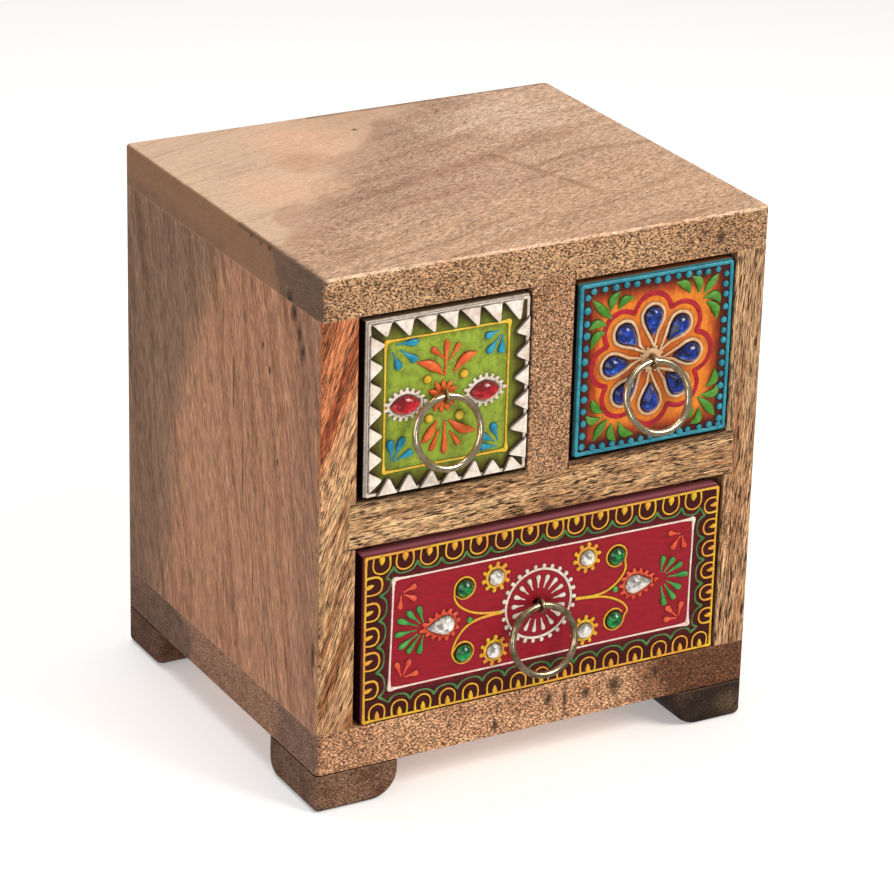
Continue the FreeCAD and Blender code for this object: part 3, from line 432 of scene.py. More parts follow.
# ------------------------------------------------------------------------------------------------
# Upper left drawer: a mango wood box whose front is painted lime over gesso and dark stain. Its relief is
# cone work: acrylic paste piped by hand from a paper cone, dried proud of the front, painted, and wiped
# with a dark wash. Strokes are given in mm from the chest's left side and from the ground.
# ------------------------------------------------------------------------------------------------
FRONT_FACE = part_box("left_drawer_front")[0].y
# from the chest's middle to its left side in mm
HALF_WIDTH = 70
hand = random.Random(7)


def paste_cone():
    """An empty curve that takes strokes of paste."""
    curve = bpy.data.curves.new("paste", "CURVE")
    curve.dimensions = "3D"
    curve.bevel_depth = MM
    curve.bevel_resolution = 2
    curve.resolution_u = 3
    curve.use_fill_caps = True
    return curve


def pipe(curve, points, widths, closed=False):
    """One stroke of paste through points, about as wide in mm as widths says, as a hand squeezes it."""
    if isinstance(widths, (int, float)):
        widths = [widths] * len(points)
    spline = curve.splines.new("NURBS")
    spline.points.add(len(points) - 1)
    for point, (x, z), width in zip(spline.points, points, widths):
        point.co = (x * MM, 0.0, z * MM, 1.0)
        point.radius = 0.5 * width * hand.uniform(0.92, 1.08)
    spline.use_cyclic_u = closed
    spline.order_u = 3
    spline.use_endpoint_u = not closed


def between(start, end, share):
    """The point that lies a share of the way from start to end."""
    return (start[0] + (end[0] - start[0]) * share, start[1] + (end[1] - start[1]) * share)


def around(centre, radius, angle):
    """The point at a radius from a centre, in the direction of an angle in radians."""
    return (centre[0] + radius * math.cos(angle), centre[1] + radius * math.sin(angle))


def pipe_drop(curve, tail, bulb, width, thin=0.4):
    """A drop pulled from its round bulb to a thin tail."""
    reach = math.dist(tail, bulb)
    end = between(tail, bulb, 1 + 0.5 * width / reach)
    points = [between(tail, end, share) for share in (0, 0.3, 0.58, 0.8, 0.96, 1)]
    pipe(curve, points, [thin, thin, 0.75 * width, 1.06 * width, 0.8 * width, 0.1])


def pipe_leaf(curve, start, middle, tip, width):
    """A half-moon leaf, from its stalk round its middle to its tip."""
    middle = between(between(start, tip, 0.5), middle, 0.9)
    points = [
        start, between(start, middle, 0.3), between(start, middle, 0.75), between(middle, tip, 0.2),
        between(middle, tip, 0.6), tip,
    ]
    pipe(curve, points, [0.4, 0.5 * width, 1.05 * width, 1.1 * width, 0.7 * width, 0.12])


def pipe_frame(curve, corners, width, corner):
    """A line ruled through four corners, which are as thick as corner says."""
    points = []
    widths = []
    for here, there in zip(corners, corners[1:] + corners[:1]):
        length = math.dist(here, there)
        steps = max(2, round(length / 9))
        shares = [0, 0.8 / length, 2.6 / length] + [k / steps for k in range(1, steps)]
        shares += [1 - 2.6 / length, 1 - 0.8 / length]
        for share in shares:
            x, z = between(here, there, share)
            points.append((x + hand.uniform(-0.07, 0.07), z + hand.uniform(-0.07, 0.07)))
        widths += [corner, 0.8 * corner, 1.1 * width] + [width] * (steps - 1) + [1.1 * width, 0.8 * corner]
    pipe(curve, points, widths, closed=True)


def outline(node, gap, count):
    """Points spaced evenly round a gem, gap mm outside it."""
    corners = [(v.co.x / MM + HALF_WIDTH, v.co.z / MM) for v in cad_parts[node].data.vertices]
    ring = []
    for k in range(180):
        out = around((0, 0), 1, math.tau * k / 180)
        x, z = max(corners, key=lambda corner: corner[0] * out[0] + corner[1] * out[1])
        ring.append((x + out[0] * gap, z + out[1] * gap))
    sides = list(zip(ring, ring[1:] + ring[:1]))
    total = sum(math.dist(here, there) for here, there in sides)
    points = []
    walked = 0.0
    for here, there in sides:
        length = math.dist(here, there)
        while len(points) < count and len(points) * total / count <= walked + length:
            points.append(between(here, there, (len(points) * total / count - walked) / length))
        walked += length
    return points


def dot_paste(paste, centres, size, height):
    """Round dots of paste in a bmesh, size mm across and proud by height times that."""
    for x, z in centres:
        width = 0.5 * size * hand.uniform(0.9, 1.1) * MM
        place = Matrix.Translation((x * MM, 0, z * MM))
        shape = Matrix.Diagonal((width, width * 2 * height, width * hand.uniform(0.94, 1.06), 1))
        bmesh.ops.create_uvsphere(paste, u_segments=12, v_segments=8, radius=1, matrix=place @ shape)


def drawer_of(name):
    """The drawer that a piece is named after."""
    return name[:name.index("_drawer")] + "_drawer"


def add_piece(name, shape, material, smooth=True):
    """A finished piece from a bmesh, riding on its drawer."""
    mesh = bpy.data.meshes.new(name)
    shape.to_mesh(mesh)
    shape.free()
    mesh.materials.append(material)
    mesh.polygons.foreach_set("use_smooth", [smooth] * len(mesh.polygons))
    piece = bpy.data.objects.new(name, mesh)
    bpy.context.scene.collection.objects.link(piece)
    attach(piece, drawer_of(name))
    return piece


def lay_paste(name, material, flat, curve, dots=None):
    """Sets strokes, flattened to flat times their width, and dots on a drawer's front as one piece."""
    paste = dots or bmesh.new()
    drawn = bpy.data.objects.new("strokes", curve)
    bpy.context.scene.collection.objects.link(drawn)
    bpy.context.view_layer.update()
    strokes = bpy.data.meshes.new_from_object(drawn.evaluated_get(bpy.context.evaluated_depsgraph_get()))
    strokes.transform(Matrix.Diagonal((1, flat, 1, 1)))
    paste.from_mesh(strokes)
    bpy.data.objects.remove(drawn)
    bpy.data.meshes.remove(strokes)
    bmesh.ops.translate(paste, verts=paste.verts, vec=(-HALF_WIDTH * MM, FRONT_FACE, 0))
    bmesh.ops.recalc_face_normals(paste, faces=paste.faces)
    add_piece(name, paste, material)


def painted_paste(name, colour, second, shade="#24150c", dirt_and_shade=0.8, gloss=0.34):
    """Acrylic paint on dried paste: a satin skin mottled by the brush, darkened in its creases and on its
    flanks by a dark wash and by painted shade.
    """
    material, add, shader = new_material(name)
    spot = add("Mapping", {"Vector": add("TexCoord").outputs["Object"], "Scale": (1 / MM,) * 3})
    # mottling 1.2 mm wide on patches of 4.5 mm, with grit that is drawn 0.5 mm wide so that it shows
    mottle = add("TexNoise", {"Vector": spot, "Scale": 0.8, "Detail": 4.0})
    light = add("MapRange", {"Value": mottle, "From": (0.3, 0.7), "To": (0.8, 1.14)})
    patches = add("TexNoise", {"Vector": spot, "Scale": 0.22, "Detail": 2.0})
    tint = add("ValToRGB", {"Fac": patches}, stops=[(0.4, colour), (0.62, second)])
    tint = add("VectorMath", {0: tint, "Scale": light}, operation="SCALE")
    # a dark wash and painted shade in the creases, where surfaces close in
    crease_wash_and_shade = add("AmbientOcclusion", {"Distance": 0.9 * MM}, samples=6).outputs["AO"]
    crease_wash_and_shade = add("MapRange", {"Value": crease_wash_and_shade, "From": (0.3, 0.82), "To": (dirt_and_shade, 0.0)})
    tint = add("MixRGB", {"Fac": crease_wash_and_shade, "Color1": tint, "Color2": shade})
    # painted shade on the flanks of each stroke, which face away from the front
    flank = add("SeparateXYZ", {"Vector": add("NewGeometry").outputs["Normal"]}).outputs["Y"]
    flank = add("MapRange", {"Value": flank, "From": (-0.75, -0.3), "To": (0.0, 0.7 * dirt_and_shade)})
    tint = add("MixRGB", {"Fac": flank, "Color1": tint, "Color2": shade})
    sheen = add("MapRange", {"Value": mottle, "To": (gloss - 0.08, gloss + 0.16)})
    grit = add("TexNoise", {"Vector": spot, "Scale": 2.2, "Detail": 3.0})
    grit = add("Bump", {"Height": grit, "Strength": 0.3, "Distance": 0.2 * MM})
    fill_sockets(shader, {"Base Color": tint, "Roughness": sheen, "Normal": grit, "Specular IOR Level": 0.35})
    return material


def painted_front(name, node, stops, reach, top, side, stroke, wash, glow=None):
    """A drawer front brushed with satin acrylic, its colours set out by the distance from its edge.

    stops are (distance, colour), up to reach mm. top and side are the colours of the front's edges. stroke is
    how often the brushing changes per mm along each axis. glow is (x, z, radius, colour, strength): another
    tint brushed out from that place. wash is how much dark wash was left on the field, in stains 2 mm wide.
    """
    low, high = (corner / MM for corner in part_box(node))
    material, add, shader = new_material(name)
    spot = add("Mapping", {"Vector": add("TexCoord").outputs["Object"], "Scale": (1 / MM,) * 3})
    axes = add("SeparateXYZ", {"Vector": spot}).outputs
    # the distance from the nearest edge sets the colour, with a ragged border where the brush strayed
    inset = None
    for farther, nearer in ((axes["X"], low.x), (high.x, axes["X"]), (axes["Z"], low.z), (high.z, axes["Z"])):
        edge = add("Math", {0: farther, 1: nearer}, operation="SUBTRACT")
        if inset is not None:
            edge = add("Math", {0: edge, 1: inset}, operation="MINIMUM")
        inset = edge
    brush = add("Mapping", {"Vector": spot, "Scale": stroke})
    brush = add("TexNoise", {"Vector": brush, "Scale": 1.0, "Detail": 4.0, "Roughness": 0.6})
    shift = add("Math", {0: brush, 1: -0.5}, operation="ADD")
    ragged = add("MapRange", {"Value": inset, "From": (1.0, 3.5), "To": (0.0, 2.4)})
    shift = add("Math", {0: shift, 1: ragged, 2: inset}, operation="MULTIPLY_ADD")
    shift = add("Math", {0: shift, 1: reach}, operation="DIVIDE")
    colour = add("ValToRGB", {"Fac": shift}, stops=[(inner / reach, tone) for inner, tone in stops])
    if glow:
        x, z, radius, tone, strength = glow
        middle = (x, FRONT_FACE / MM, z)
        away = add("VectorMath", {0: spot, 1: middle}, operation="DISTANCE").outputs["Value"]
        away = add("Math", {0: brush, 1: 6.0, 2: away}, operation="MULTIPLY_ADD")
        away = add("MapRange", {"Value": away, "From": (0.6 * radius, 1.4 * radius), "To": (strength, 0.0)})
        colour = add("MixRGB", {"Fac": away, "Color1": colour, "Color2": tone})
    # light and dark of the brush strokes, then the dark wash in stains, and a wash with painted shade round
    # the paste and gems
    light = add("MapRange", {"Value": brush, "From": (0.3, 0.7), "To": (0.84, 1.12)})
    colour = add("VectorMath", {0: colour, "Scale": light}, operation="SCALE")
    stain = add("TexNoise", {"Vector": spot, "Scale": 0.55, "Detail": 6.0, "Roughness": 0.7})
    stain = add("MapRange", {"Value": stain, "From": (0.45, 0.72), "To": (0.0, wash)})
    colour = add("MixRGB", {"Fac": stain, "Color1": colour, "Color2": "#4a3216"})
    crease_wash_and_shade = add("AmbientOcclusion", {"Distance": 1.8 * MM}, samples=8).outputs["AO"]
    crease_wash_and_shade = add("MapRange", {"Value": crease_wash_and_shade, "From": (0.35, 0.95), "To": (0.95, 0.0)})
    colour = add("MixRGB", {"Fac": crease_wash_and_shade, "Color1": colour, "Color2": "#2a170d"})
    # behind its rounded face the board shows its edges, the top one in a colour of its own
    height = add("MapRange", {"Value": axes["Z"], "From": (high.z - 0.5, high.z - 0.2)})
    flank = add("MixRGB", {"Fac": height, "Color1": side, "Color2": top})
    depth = add("MapRange", {"Value": axes["Y"], "From": (low.y + 0.7, low.y + 1.3)})
    colour = add("MixRGB", {"Fac": depth, "Color1": colour, "Color2": flank})
    sheen = add("MapRange", {"Value": brush, "To": (0.32, 0.54)})
    ridges = add("Bump", {"Height": brush, "Strength": 0.3, "Distance": 0.2 * MM})
    fill_sockets(shader, {
        "Base Color": colour, "Roughness": sheen, "Normal": ridges, "Specular IOR Level": 0.2,
    })
    return material


finish_node("left_drawer_front", painted_front(
    "lime acrylic on gesso", "left_drawer_front", reach=12.0, top="#7a6650", side="#20140f",
    stroke=(0.5, 1.0, 0.16),
    stops=[
        (0.0, "#e0d6c8"), (0.9, "#e0d6c8"), (1.1, "#4a3c1c"), (3.4, "#5a581a"), (6.4, "#73842a"),
        (8.4, "#8ca234"),
    ],
    wash=0.6,
))

# white teeth along the four edges, as (middle of the base, apex) for each
LEFT_TEETH = (
    [((17.6 + 6.72 * k, 143.5), apex) for k, apex in enumerate((
        (18.9, 139.7), (25.9, 138.9), (33.4, 138.7), (40, 138.7), (46.8, 138.3), (53.5, 138.1), (59.8, 137.8),
    ))]
    + [((14.3, 137.3 - 6.55 * k), apex) for k, apex in enumerate((
        (18.3, 137.3), (17.8, 131), (17.5, 124.8), (17.7, 117.8), (18, 111.1), (17.9, 104.3), (18, 98.3),
    ))]
    + [((63, 135.2 - 7.1 * k), apex) for k, apex in enumerate((
        (59.1, 134.3), (59.3, 127.5), (58.9, 120.9), (59, 113.6), (58, 106.2), (57.9, 98.7),
    ))]
    + [((20 + 6.55 * k, 93.8), apex) for k, apex in enumerate((
        (20.3, 98.3), (26.7, 98.3), (33.6, 98.1), (40, 97.6), (47, 98.5), (52.6, 97.7), (58.4, 97.7),
    ))]
)
# half the width of a tooth in mm at each share of its height, and the height of the front's middle
TOOTH = ((0.0, 3.1), (0.12, 2.6), (0.5, 1.65), (0.85, 0.75), (1.0, 0.3))
MIDDLE_HEIGHT = 118.65
white_paste = painted_paste(
    "cream white acrylic paste", "#e4d8cc", "#d4c3b4", shade="#3a2a1a", dirt_and_shade=0.85, gloss=0.4,
)
teeth = bmesh.new()
for base, apex in LEFT_TEETH:
    # teeth are wide across in the rows at the top and the bottom, and wide upwards in those at the sides
    along = (1, 0) if abs(base[1] - MIDDLE_HEIGHT) > 24 else (0, 1)
    rim = []
    for side, profile in ((-1, TOOTH), (1, reversed(TOOTH))):
        for share, width in profile:
            x, z = between(base, apex, share)
            rim.append((x + side * width * along[0], z + side * width * along[1]))
    proud = hand.uniform(1.3, 1.6)
    sunk = 0.3
    tooth = teeth.faces.new([teeth.verts.new((x * MM, sunk * MM, z * MM)) for x, z in rim])
    raised = bmesh.ops.extrude_face_region(teeth, geom=[tooth])["geom"]
    top = [part for part in raised if isinstance(part, bmesh.types.BMFace)]
    lifted = [part for part in raised if isinstance(part, bmesh.types.BMVert)]
    bmesh.ops.translate(teeth, verts=lifted, vec=(0, -(proud + sunk) * MM, 0))
    bmesh.ops.bevel(
        teeth, geom=list(top[0].edges), offset=1.2 * MM, offset_type="OFFSET", affect="EDGES", segments=4,
        profile=0.5, material=-1, clamp_overlap=True,
    )
band = paste_cone()
pipe_frame(band, [(14.35, 93.85), (62.85, 93.85), (62.85, 143.45), (14.35, 143.45)], 0.95, 1.3)
lay_paste("left_drawer_white_teeth", white_paste, 0.8, band, teeth)

yellow_paste = painted_paste("golden yellow acrylic paste", "#dc962c", "#dbae20")
lemon_paste = painted_paste("lemon yellow acrylic paste", "#dca91e", "#e0bf3a")
line = paste_cone()
pipe_frame(line, [(19.2, 99.8), (57.1, 99.8), (57.1, 137.6), (19.2, 137.6)], 0.68, 1.7)
spots = bmesh.new()
dot_paste(spots, [(32.1, 124.8), (43.3, 124.6), (32.8, 113.3), (42.2, 112.8)], 2.7, 0.42)
lay_paste("left_drawer_yellow_line", lemon_paste, 0.8, line, spots)

blue_paste = painted_paste("sky blue acrylic paste", "#1583a6", "#2596b4")
drops = paste_cone()
for tail, bulb in (
    ((22.6, 136.3), (28.0, 136.3)), ((23.6, 134.7), (28.0, 131.4)), ((21.4, 134.3), (23.2, 130.2)),
    ((54.2, 135.2), (50.7, 134.4)), ((54.4, 133.7), (51.2, 130.1)), ((55.2, 134.0), (54.8, 129.7)),
    ((21.9, 102.6), (21.2, 108.0)), ((22.2, 102.8), (24.7, 108.3)), ((22.6, 102.6), (27.0, 104.3)),
    ((54.7, 102.9), (53.0, 107.4)), ((53.6, 102.8), (50.3, 104.8)), ((54.3, 101.3), (50.0, 101.9)),
):
    pipe_drop(drops, tail, bulb, 2.4)
lay_paste("left_drawer_blue_drops", blue_paste, 0.8, drops)

orange_paste = painted_paste("orange acrylic paste", "#d2511c", "#dc6a2c")
palmette = paste_cone()
for tail, bulb, width in (
    ((37.6, 125.0), (37.9, 134.6), 1.9), ((37.2, 130.0), (33.9, 133.0), 1.9),
    ((38.9, 129.2), (41.4, 133.0), 1.8),
    ((37.7, 111.8), (37.9, 102.9), 2.0), ((36.0, 109.2), (34.0, 104.5), 1.9),
    ((39.4, 108.4), (42.0, 104.8), 1.9),
):
    pipe_drop(palmette, tail, bulb, width, 0.7)
for start, middle, tip in (
    ((37.2, 125.2), (33.6, 129.0), (28.6, 130.2)), ((40.1, 125.4), (43.2, 129.6), (47.8, 130.2)),
    ((35.4, 112.3), (33.0, 108.4), (30.6, 106.2)), ((39.0, 111.9), (43.0, 108.3), (47.6, 107.3)),
):
    pipe_leaf(palmette, start, middle, tip, 2.7)
hub = (36.8, 119.3)
for tip in (
    (32.6, 121.4), (34.6, 123.6), (37.2, 124.0), (39.6, 123.2), (41.2, 121.3), (41.4, 118.2), (33.0, 117.6),
    (34.3, 115.2), (36.6, 114.2), (39.0, 114.5), (40.7, 116.0),
):
    pipe(palmette, [hub, between(hub, tip, 0.55), between(hub, tip, 0.82), tip], [1.4, 1.9, 1.6, 0.3])
lay_paste("left_drawer_orange_palmette", orange_paste, 0.75, palmette)

collars = paste_cone()
bumps = bmesh.new()
for gem in ("left_drawer_left_gem", "left_drawer_right_gem"):
    pipe(collars, outline(gem, 0.4, 20), 1.15, closed=True)
    for inner, outer in zip(outline(gem, 0.5, 17), outline(gem, 1.6, 17)):
        pipe(collars, [inner, between(inner, outer, 0.6), outer], [1.5, 1.3, 0.8])
    dot_paste(bumps, outline(gem, 1.45, 17), 1.05, 0.45)
lay_paste("left_drawer_gem_collars", white_paste, 0.75, collars, bumps)

# ------------------------------------------------------------------------------------------------
# Upper right drawer: the same box, its front brushed orange out of dark red, edged with turquoise, with
# green half-moon leaves, a thin crimson flower and cream paste drawn round the eight blue gems.
# ------------------------------------------------------------------------------------------------
finish_node("right_drawer_front", painted_front(
    "orange acrylic on gesso", "right_drawer_front", reach=14.0, top="#8f5a38", side="#241410",
    stroke=(0.9, 1.0, 0.2),
    stops=[
        (0.0, "#2f8a9a"), (1.0, "#2f8a9a"), (1.3, "#421412"), (3.6, "#5e1e12"), (5.6, "#a84216"),
        (8.0, "#da7a22"),
    ],
    glow=(33, 118.6, 15, "#b34f1a", 0.8), wash=0.35,
))
turquoise_paste = painted_paste("turquoise acrylic paste", "#1c7b8e", "#2f8ea0")
edge = paste_cone()
pipe_frame(edge, [(79.75, 93.85), (128.05, 93.85), (128.05, 143.45), (79.75, 143.45)], 1.3, 1.6)
beads = bmesh.new()
# beads along the top and the bottom, then down the left and the right
for z, row in (
    (141.9, (83.4, 87, 90.5, 93.9, 97.1, 100.6, 103.8, 107, 110.5, 113.9, 117.2, 120.2, 123.5)),
    (95.1, (84.8, 88, 91.3, 94.3, 97.4, 100.6, 103.8, 107.5, 110.5, 113.4, 116.1, 119.9, 123.2, 126.2)),
):
    dot_paste(beads, [(x, z + hand.uniform(-0.2, 0.2)) for x in row], 2.1, 0.42)
for x, size, column in (
    (81.5, 2.2, (140.1, 136.3, 132.4, 128.9, 125.2, 121.4, 117.5, 113.6, 110.1, 106.5, 102.9, 99.2, 96)),
    (
        126.4, 2.1,
        (140.2, 137.2, 134.2, 130.4, 126.5, 123.3, 120.4, 116.7, 113.5, 110.2, 106.7, 103.3, 100.3, 96.7),
    ),
):
    dot_paste(beads, [(x + hand.uniform(-0.2, 0.2), z) for z in column], size, 0.42)
lay_paste("right_drawer_turquoise_edge", turquoise_paste, 0.75, edge, beads)

leaf_paste = painted_paste("leaf green acrylic paste", "#3d7d20", "#578f30")
leaves = paste_cone()
for start, middle, tip in (
    ((89.8, 132.5), (86.5, 135.7), (83.2, 139)), ((89.2, 135), (89.3, 138.6), (92.2, 140.3)),
    ((91.7, 135.2), (93, 138), (96.7, 137.8)), ((88, 130.9), (84.8, 132.5), (82.4, 130.4)),
    ((87.8, 129), (84.2, 128.6), (83.3, 124.5)),
    ((114.8, 136.2), (113.5, 139.2), (110.2, 140)), ((117.5, 135.8), (118, 139.5), (115.2, 141.0)),
    ((119.2, 135.3), (121.6, 138.4), (124, 140.5)), ((119.2, 134), (123.3, 135), (124.9, 131.7)),
    ((120.2, 132.8), (123.6, 131), (124, 127)),
    ((88, 105.1), (85, 106.8), (84.2, 109.6)), ((87.3, 103.6), (83.9, 102.8), (82.6, 105)),
    ((89.4, 102.8), (86.8, 100.3), (85.2, 96.9)), ((91, 101.5), (90.1, 98), (92.6, 95.8)),
    ((93.3, 101.5), (94.2, 97.6), (98.3, 96.9)),
    ((121.5, 107.1), (124.6, 108.6), (124.1, 112.2)), ((120.2, 104.8), (124.5, 104.2), (125.6, 107.3)),
    ((119, 104.4), (122.5, 101.2), (125, 97.7)), ((119.5, 101.2), (119.8, 97.6), (117.1, 96.6)),
    ((116.6, 102.9), (116.6, 99.8), (114.8, 98.2)),
):
    pipe_leaf(leaves, start, middle, tip, 2.7)
lay_paste("right_drawer_green_leaves", leaf_paste, 0.6, leaves)

crimson_paint = painted_paste("crimson brush line", "#b01228", "#9c1826", dirt_and_shade=0.3)
flower = paste_cone()
lobes = []
# eight lobes, with a doubled point for the sharp notch between two of them
for k in range(8):
    for turn, radius in ((-22.5, 15.6), (-22.5, 15.6), (-14, 18.6), (0, 20.0), (14, 18.6)):
        lobes.append(around((103.0, 118.6), radius, math.radians(45 * k + turn)))
pipe(flower, lobes, 1.5, closed=True)
lay_paste("right_drawer_crimson_flower", crimson_paint, 0.22, flower)

cream_paste = painted_paste("pale gold acrylic paste", "#cfa67c", "#dcbd98", shade="#4a2410")
FLOWER_MIDDLE = (103.0, MIDDLE_HEIGHT)
petals = paste_cone()
mound = bmesh.new()
for number in range(1, 9):
    ring = outline(f"right_drawer_petal_gem_{number}", 0.8, 24)
    inner = min(range(24), key=lambda k: math.dist(ring[k], FLOWER_MIDDLE))
    ring = ring[inner + 2:] + ring[:max(0, inner - 1)]
    foot = between(FLOWER_MIDDLE, ring[0], 0.42)
    petal = [foot, between(foot, ring[0], 0.7)] + ring + [between(foot, ring[-1], 0.7), foot]
    pipe(petals, petal, [0.9, 0.8] + [1.15] * len(ring) + [0.8, 0.9])
for k in range(8):
    spoke = [around(FLOWER_MIDDLE, reach, math.radians(45 * k + 22.5)) for reach in (1.0, 2.6, 4.0)]
    pipe(petals, spoke, [1.2, 1.2, 0.9])
dot_paste(mound, [(102.8, 118.7)], 7.0, 0.2)
lay_paste("right_drawer_cream_petals", cream_paste, 0.85, petals, mound)

# ------------------------------------------------------------------------------------------------
# Lower drawer: a wide box with a crimson field in a dark maroon border. Yellow loops and a green scallop
# run round the border, and a white rosette, scrolls, leaves and collars of paste surround the gems.
# ------------------------------------------------------------------------------------------------
finish_node("lower_drawer_front", painted_front(
    "crimson acrylic on gesso", "lower_drawer_front", reach=14.0, top="#ad6872", side="#2b1013",
    stroke=(0.25, 1.0, 0.9),
    stops=[
        (0.0, "#7a3a42"), (0.6, "#5a2228"), (1.2, "#3d0f12"), (5.0, "#42100f"), (8.2, "#5a101b"),
        (9.0, "#921023"),
    ],
    wash=0.12,
))
loops = paste_cone()
kernels = paste_cone()
pipe_frame(loops, [(14.5, 25.35), (127.6, 25.35), (127.6, 75.15), (14.5, 75.15)], 0.75, 1.3)
# horseshoes along each edge, each round a kernel that hangs from the yellow line
for x in (19.4, 26.6, 34.1, 42, 49.7, 57.7, 65.9, 74, 80.9, 88.6, 96.5, 104.2, 112, 119.5):
    sag = hand.uniform(-0.15, 0.15)
    pipe(loops, [
        (x - 2.3, 75.1), (x - 2.8, 73.2), (x - 2.5, 70.7), (x, 69.5 + sag), (x + 2.5, 70.7), (x + 2.8, 73.2),
        (x + 2.4, 75.1),
    ], [0.62, 0.58, 0.55, 0.52, 0.55, 0.62, 0.9])
    pipe(kernels, [(x, 75.2), (x, 74.4), (x, 73.4), (x, 72.4)], [1.5, 2.2, 1.8, 0.4])
for x in (18.7, 25.8, 33.2, 41, 48.4, 56.2, 63.8, 71.3, 79, 86.6, 94.3, 102.3, 110.4, 117.5, 124.1):
    sag = hand.uniform(-0.15, 0.15)
    pipe(loops, [
        (x - 2.3, 25.4), (x - 2.6, 27.2), (x - 2.2, 29.4), (x, 30.4 + sag), (x + 2.2, 29.4), (x + 2.6, 27.2),
        (x + 2.2, 25.4),
    ], [0.9, 0.62, 0.55, 0.52, 0.55, 0.58, 0.62])
    pipe(kernels, [(x, 25.3), (x, 26.2), (x, 27.1), (x, 28.0)], [1.4, 1.8, 1.5, 0.4])
for z, reach in ((66.5, 19.4), (58.7, 18.7), (51.2, 18.6), (43.7, 18.9), (35.0, 18.6)):
    pipe(loops, [
        (14.4, z + 2.4), (16.2, z + 2.8), (reach - 0.3, z + 2.4), (reach + 0.5, z), (reach - 0.3, z - 2.4),
        (16.2, z - 2.8), (14.4, z - 2.5),
    ], [0.9, 0.8, 0.75, 0.66, 0.6, 0.58, 0.58])
    pipe(kernels, [(14.3, z - 0.3), (15.2, z - 0.2), (16.1, z + 0.1), (17.0, z + 0.3)], [1.3, 1.5, 1.3, 0.5])
for z in (69.8, 63.1, 56.3, 49.4, 42.4, 35.0):
    pipe(loops, [
        (127.7, z + 2.1), (126.2, z + 2.5), (124.1, z + 2.1), (123.2, z), (124.1, z - 2.1), (126.2, z - 2.4),
        (127.7, z - 2.0),
    ], [0.7, 0.58, 0.58, 0.58, 0.62, 0.75, 0.9])
    pipe(kernels, [(127.7, z + 0.2), (126.9, z + 0.2), (126.2, z), (125.4, z)], [1.4, 1.6, 1.3, 0.4])
# scrolls that leave the rosette and run once round a green gem, the last number giving the way round
for scroll, gem, way in (
    ([(57.8, 50.3), (54.0, 50.7), (48.8, 51.8), (44.6, 54.2), (42.4, 57.0)], "upper_left", -1),
    ([(57.8, 50.3), (51.2, 50.2), (46.4, 48.6), (43.5, 45.3), (41.9, 41.3)], "lower_left", 1),
    ([(81.4, 49.5), (86.6, 48.9), (92.0, 49.6), (95.8, 52.2), (98.2, 55.6)], "upper_right", 1),
    ([(81.4, 49.5), (87.6, 49.0), (92.8, 47.8), (97.2, 45.4), (99.4, 42.6)], "lower_right", -1),
):
    ring = outline(f"lower_drawer_{gem}_green_gem", 0.65, 16)
    start = min(range(16), key=lambda k: math.dist(ring[k], scroll[-1]))
    ring = [ring[(start + way * k) % 16] for k in range(1, 17)]
    pipe(loops, scroll + ring, [1.2, 1.0] + [0.75] * (len(scroll) - 2) + [0.66] * 15 + [0.4])
yellow_stars = bmesh.new()
for row in ("upper", "lower"):
    for side in ("left", "right"):
        gem = f"lower_drawer_{row}_{side}_clear_gem"
        pipe(loops, outline(gem, 0.5, 16), 1.15, closed=True)
        for root, tip in zip(outline(gem, 0.6, 10), outline(gem, 1.6, 10)):
            pipe(loops, [root, between(root, tip, 0.6), tip], [1.3, 1.2, 1.1])
        dot_paste(yellow_stars, outline(gem, 1.6, 10), 1.4, 0.4)
lay_paste("lower_drawer_yellow_loops", yellow_paste, 0.75, loops, yellow_stars)
lay_paste("lower_drawer_yellow_kernels", yellow_paste, 0.8, kernels)

# a scallop of green paste, thick at its cusps and thin along its arcs, which swell inwards: the cusps of each
# edge, then how far its arcs swell across and upwards
scallop = paste_cone()
points = []
for cusps, across, swell in (
    ([
        (23.1, 70.9), (30.5, 71.4), (38, 70.8), (45.9, 71.1), (53.5, 70.9), (61.9, 71.7), (70.3, 71.5),
        (77.3, 71.4), (84.6, 70.7), (92.7, 71.1), (100.5, 71.1), (107.5, 70.9), (115.7, 70.7), (121.9, 69.9),
    ], 0.0, -2.3),
    ([(123.6, 67.2), (123.6, 60), (124, 53.1), (123.9, 45.6), (124.2, 38.6), (123, 31.9)], -2.3, 0.0),
    ([
        (120.9, 30.8), (114.2, 30.2), (106.1, 30), (98.1, 30), (89.4, 30), (81.9, 29.5), (74.2, 29.9),
        (66.8, 30.2), (59.3, 30.5), (52.1, 30.4), (44.1, 29.7), (36.7, 29.6), (29.1, 29.8), (22.3, 30.1),
    ], 0.0, 2.0),
    ([(19.2, 32.3), (18.4, 39.9), (18.6, 47.7), (19, 55.6), (19.1, 63.1), (20.9, 68.2)], 2.2, 0.0),
):
    for here, there in zip(cusps, cusps[1:]):
        low = between(here, there, 0.2)
        high = between(here, there, 0.8)
        points += [here, here, (low[0] + across, low[1] + swell), (high[0] + across, high[1] + swell)]
    points += [cusps[-1], cusps[-1], cusps[-1], cusps[-1]]
pipe(scallop, points, [1.05, 1.05, 0.5, 0.5] * (len(points) // 4), closed=True)
scallop_paste = painted_paste("dull green acrylic line", "#3b7036", "#567f4a", dirt_and_shade=0.7)
lay_paste("lower_drawer_green_scallop", scallop_paste, 0.5, scallop)

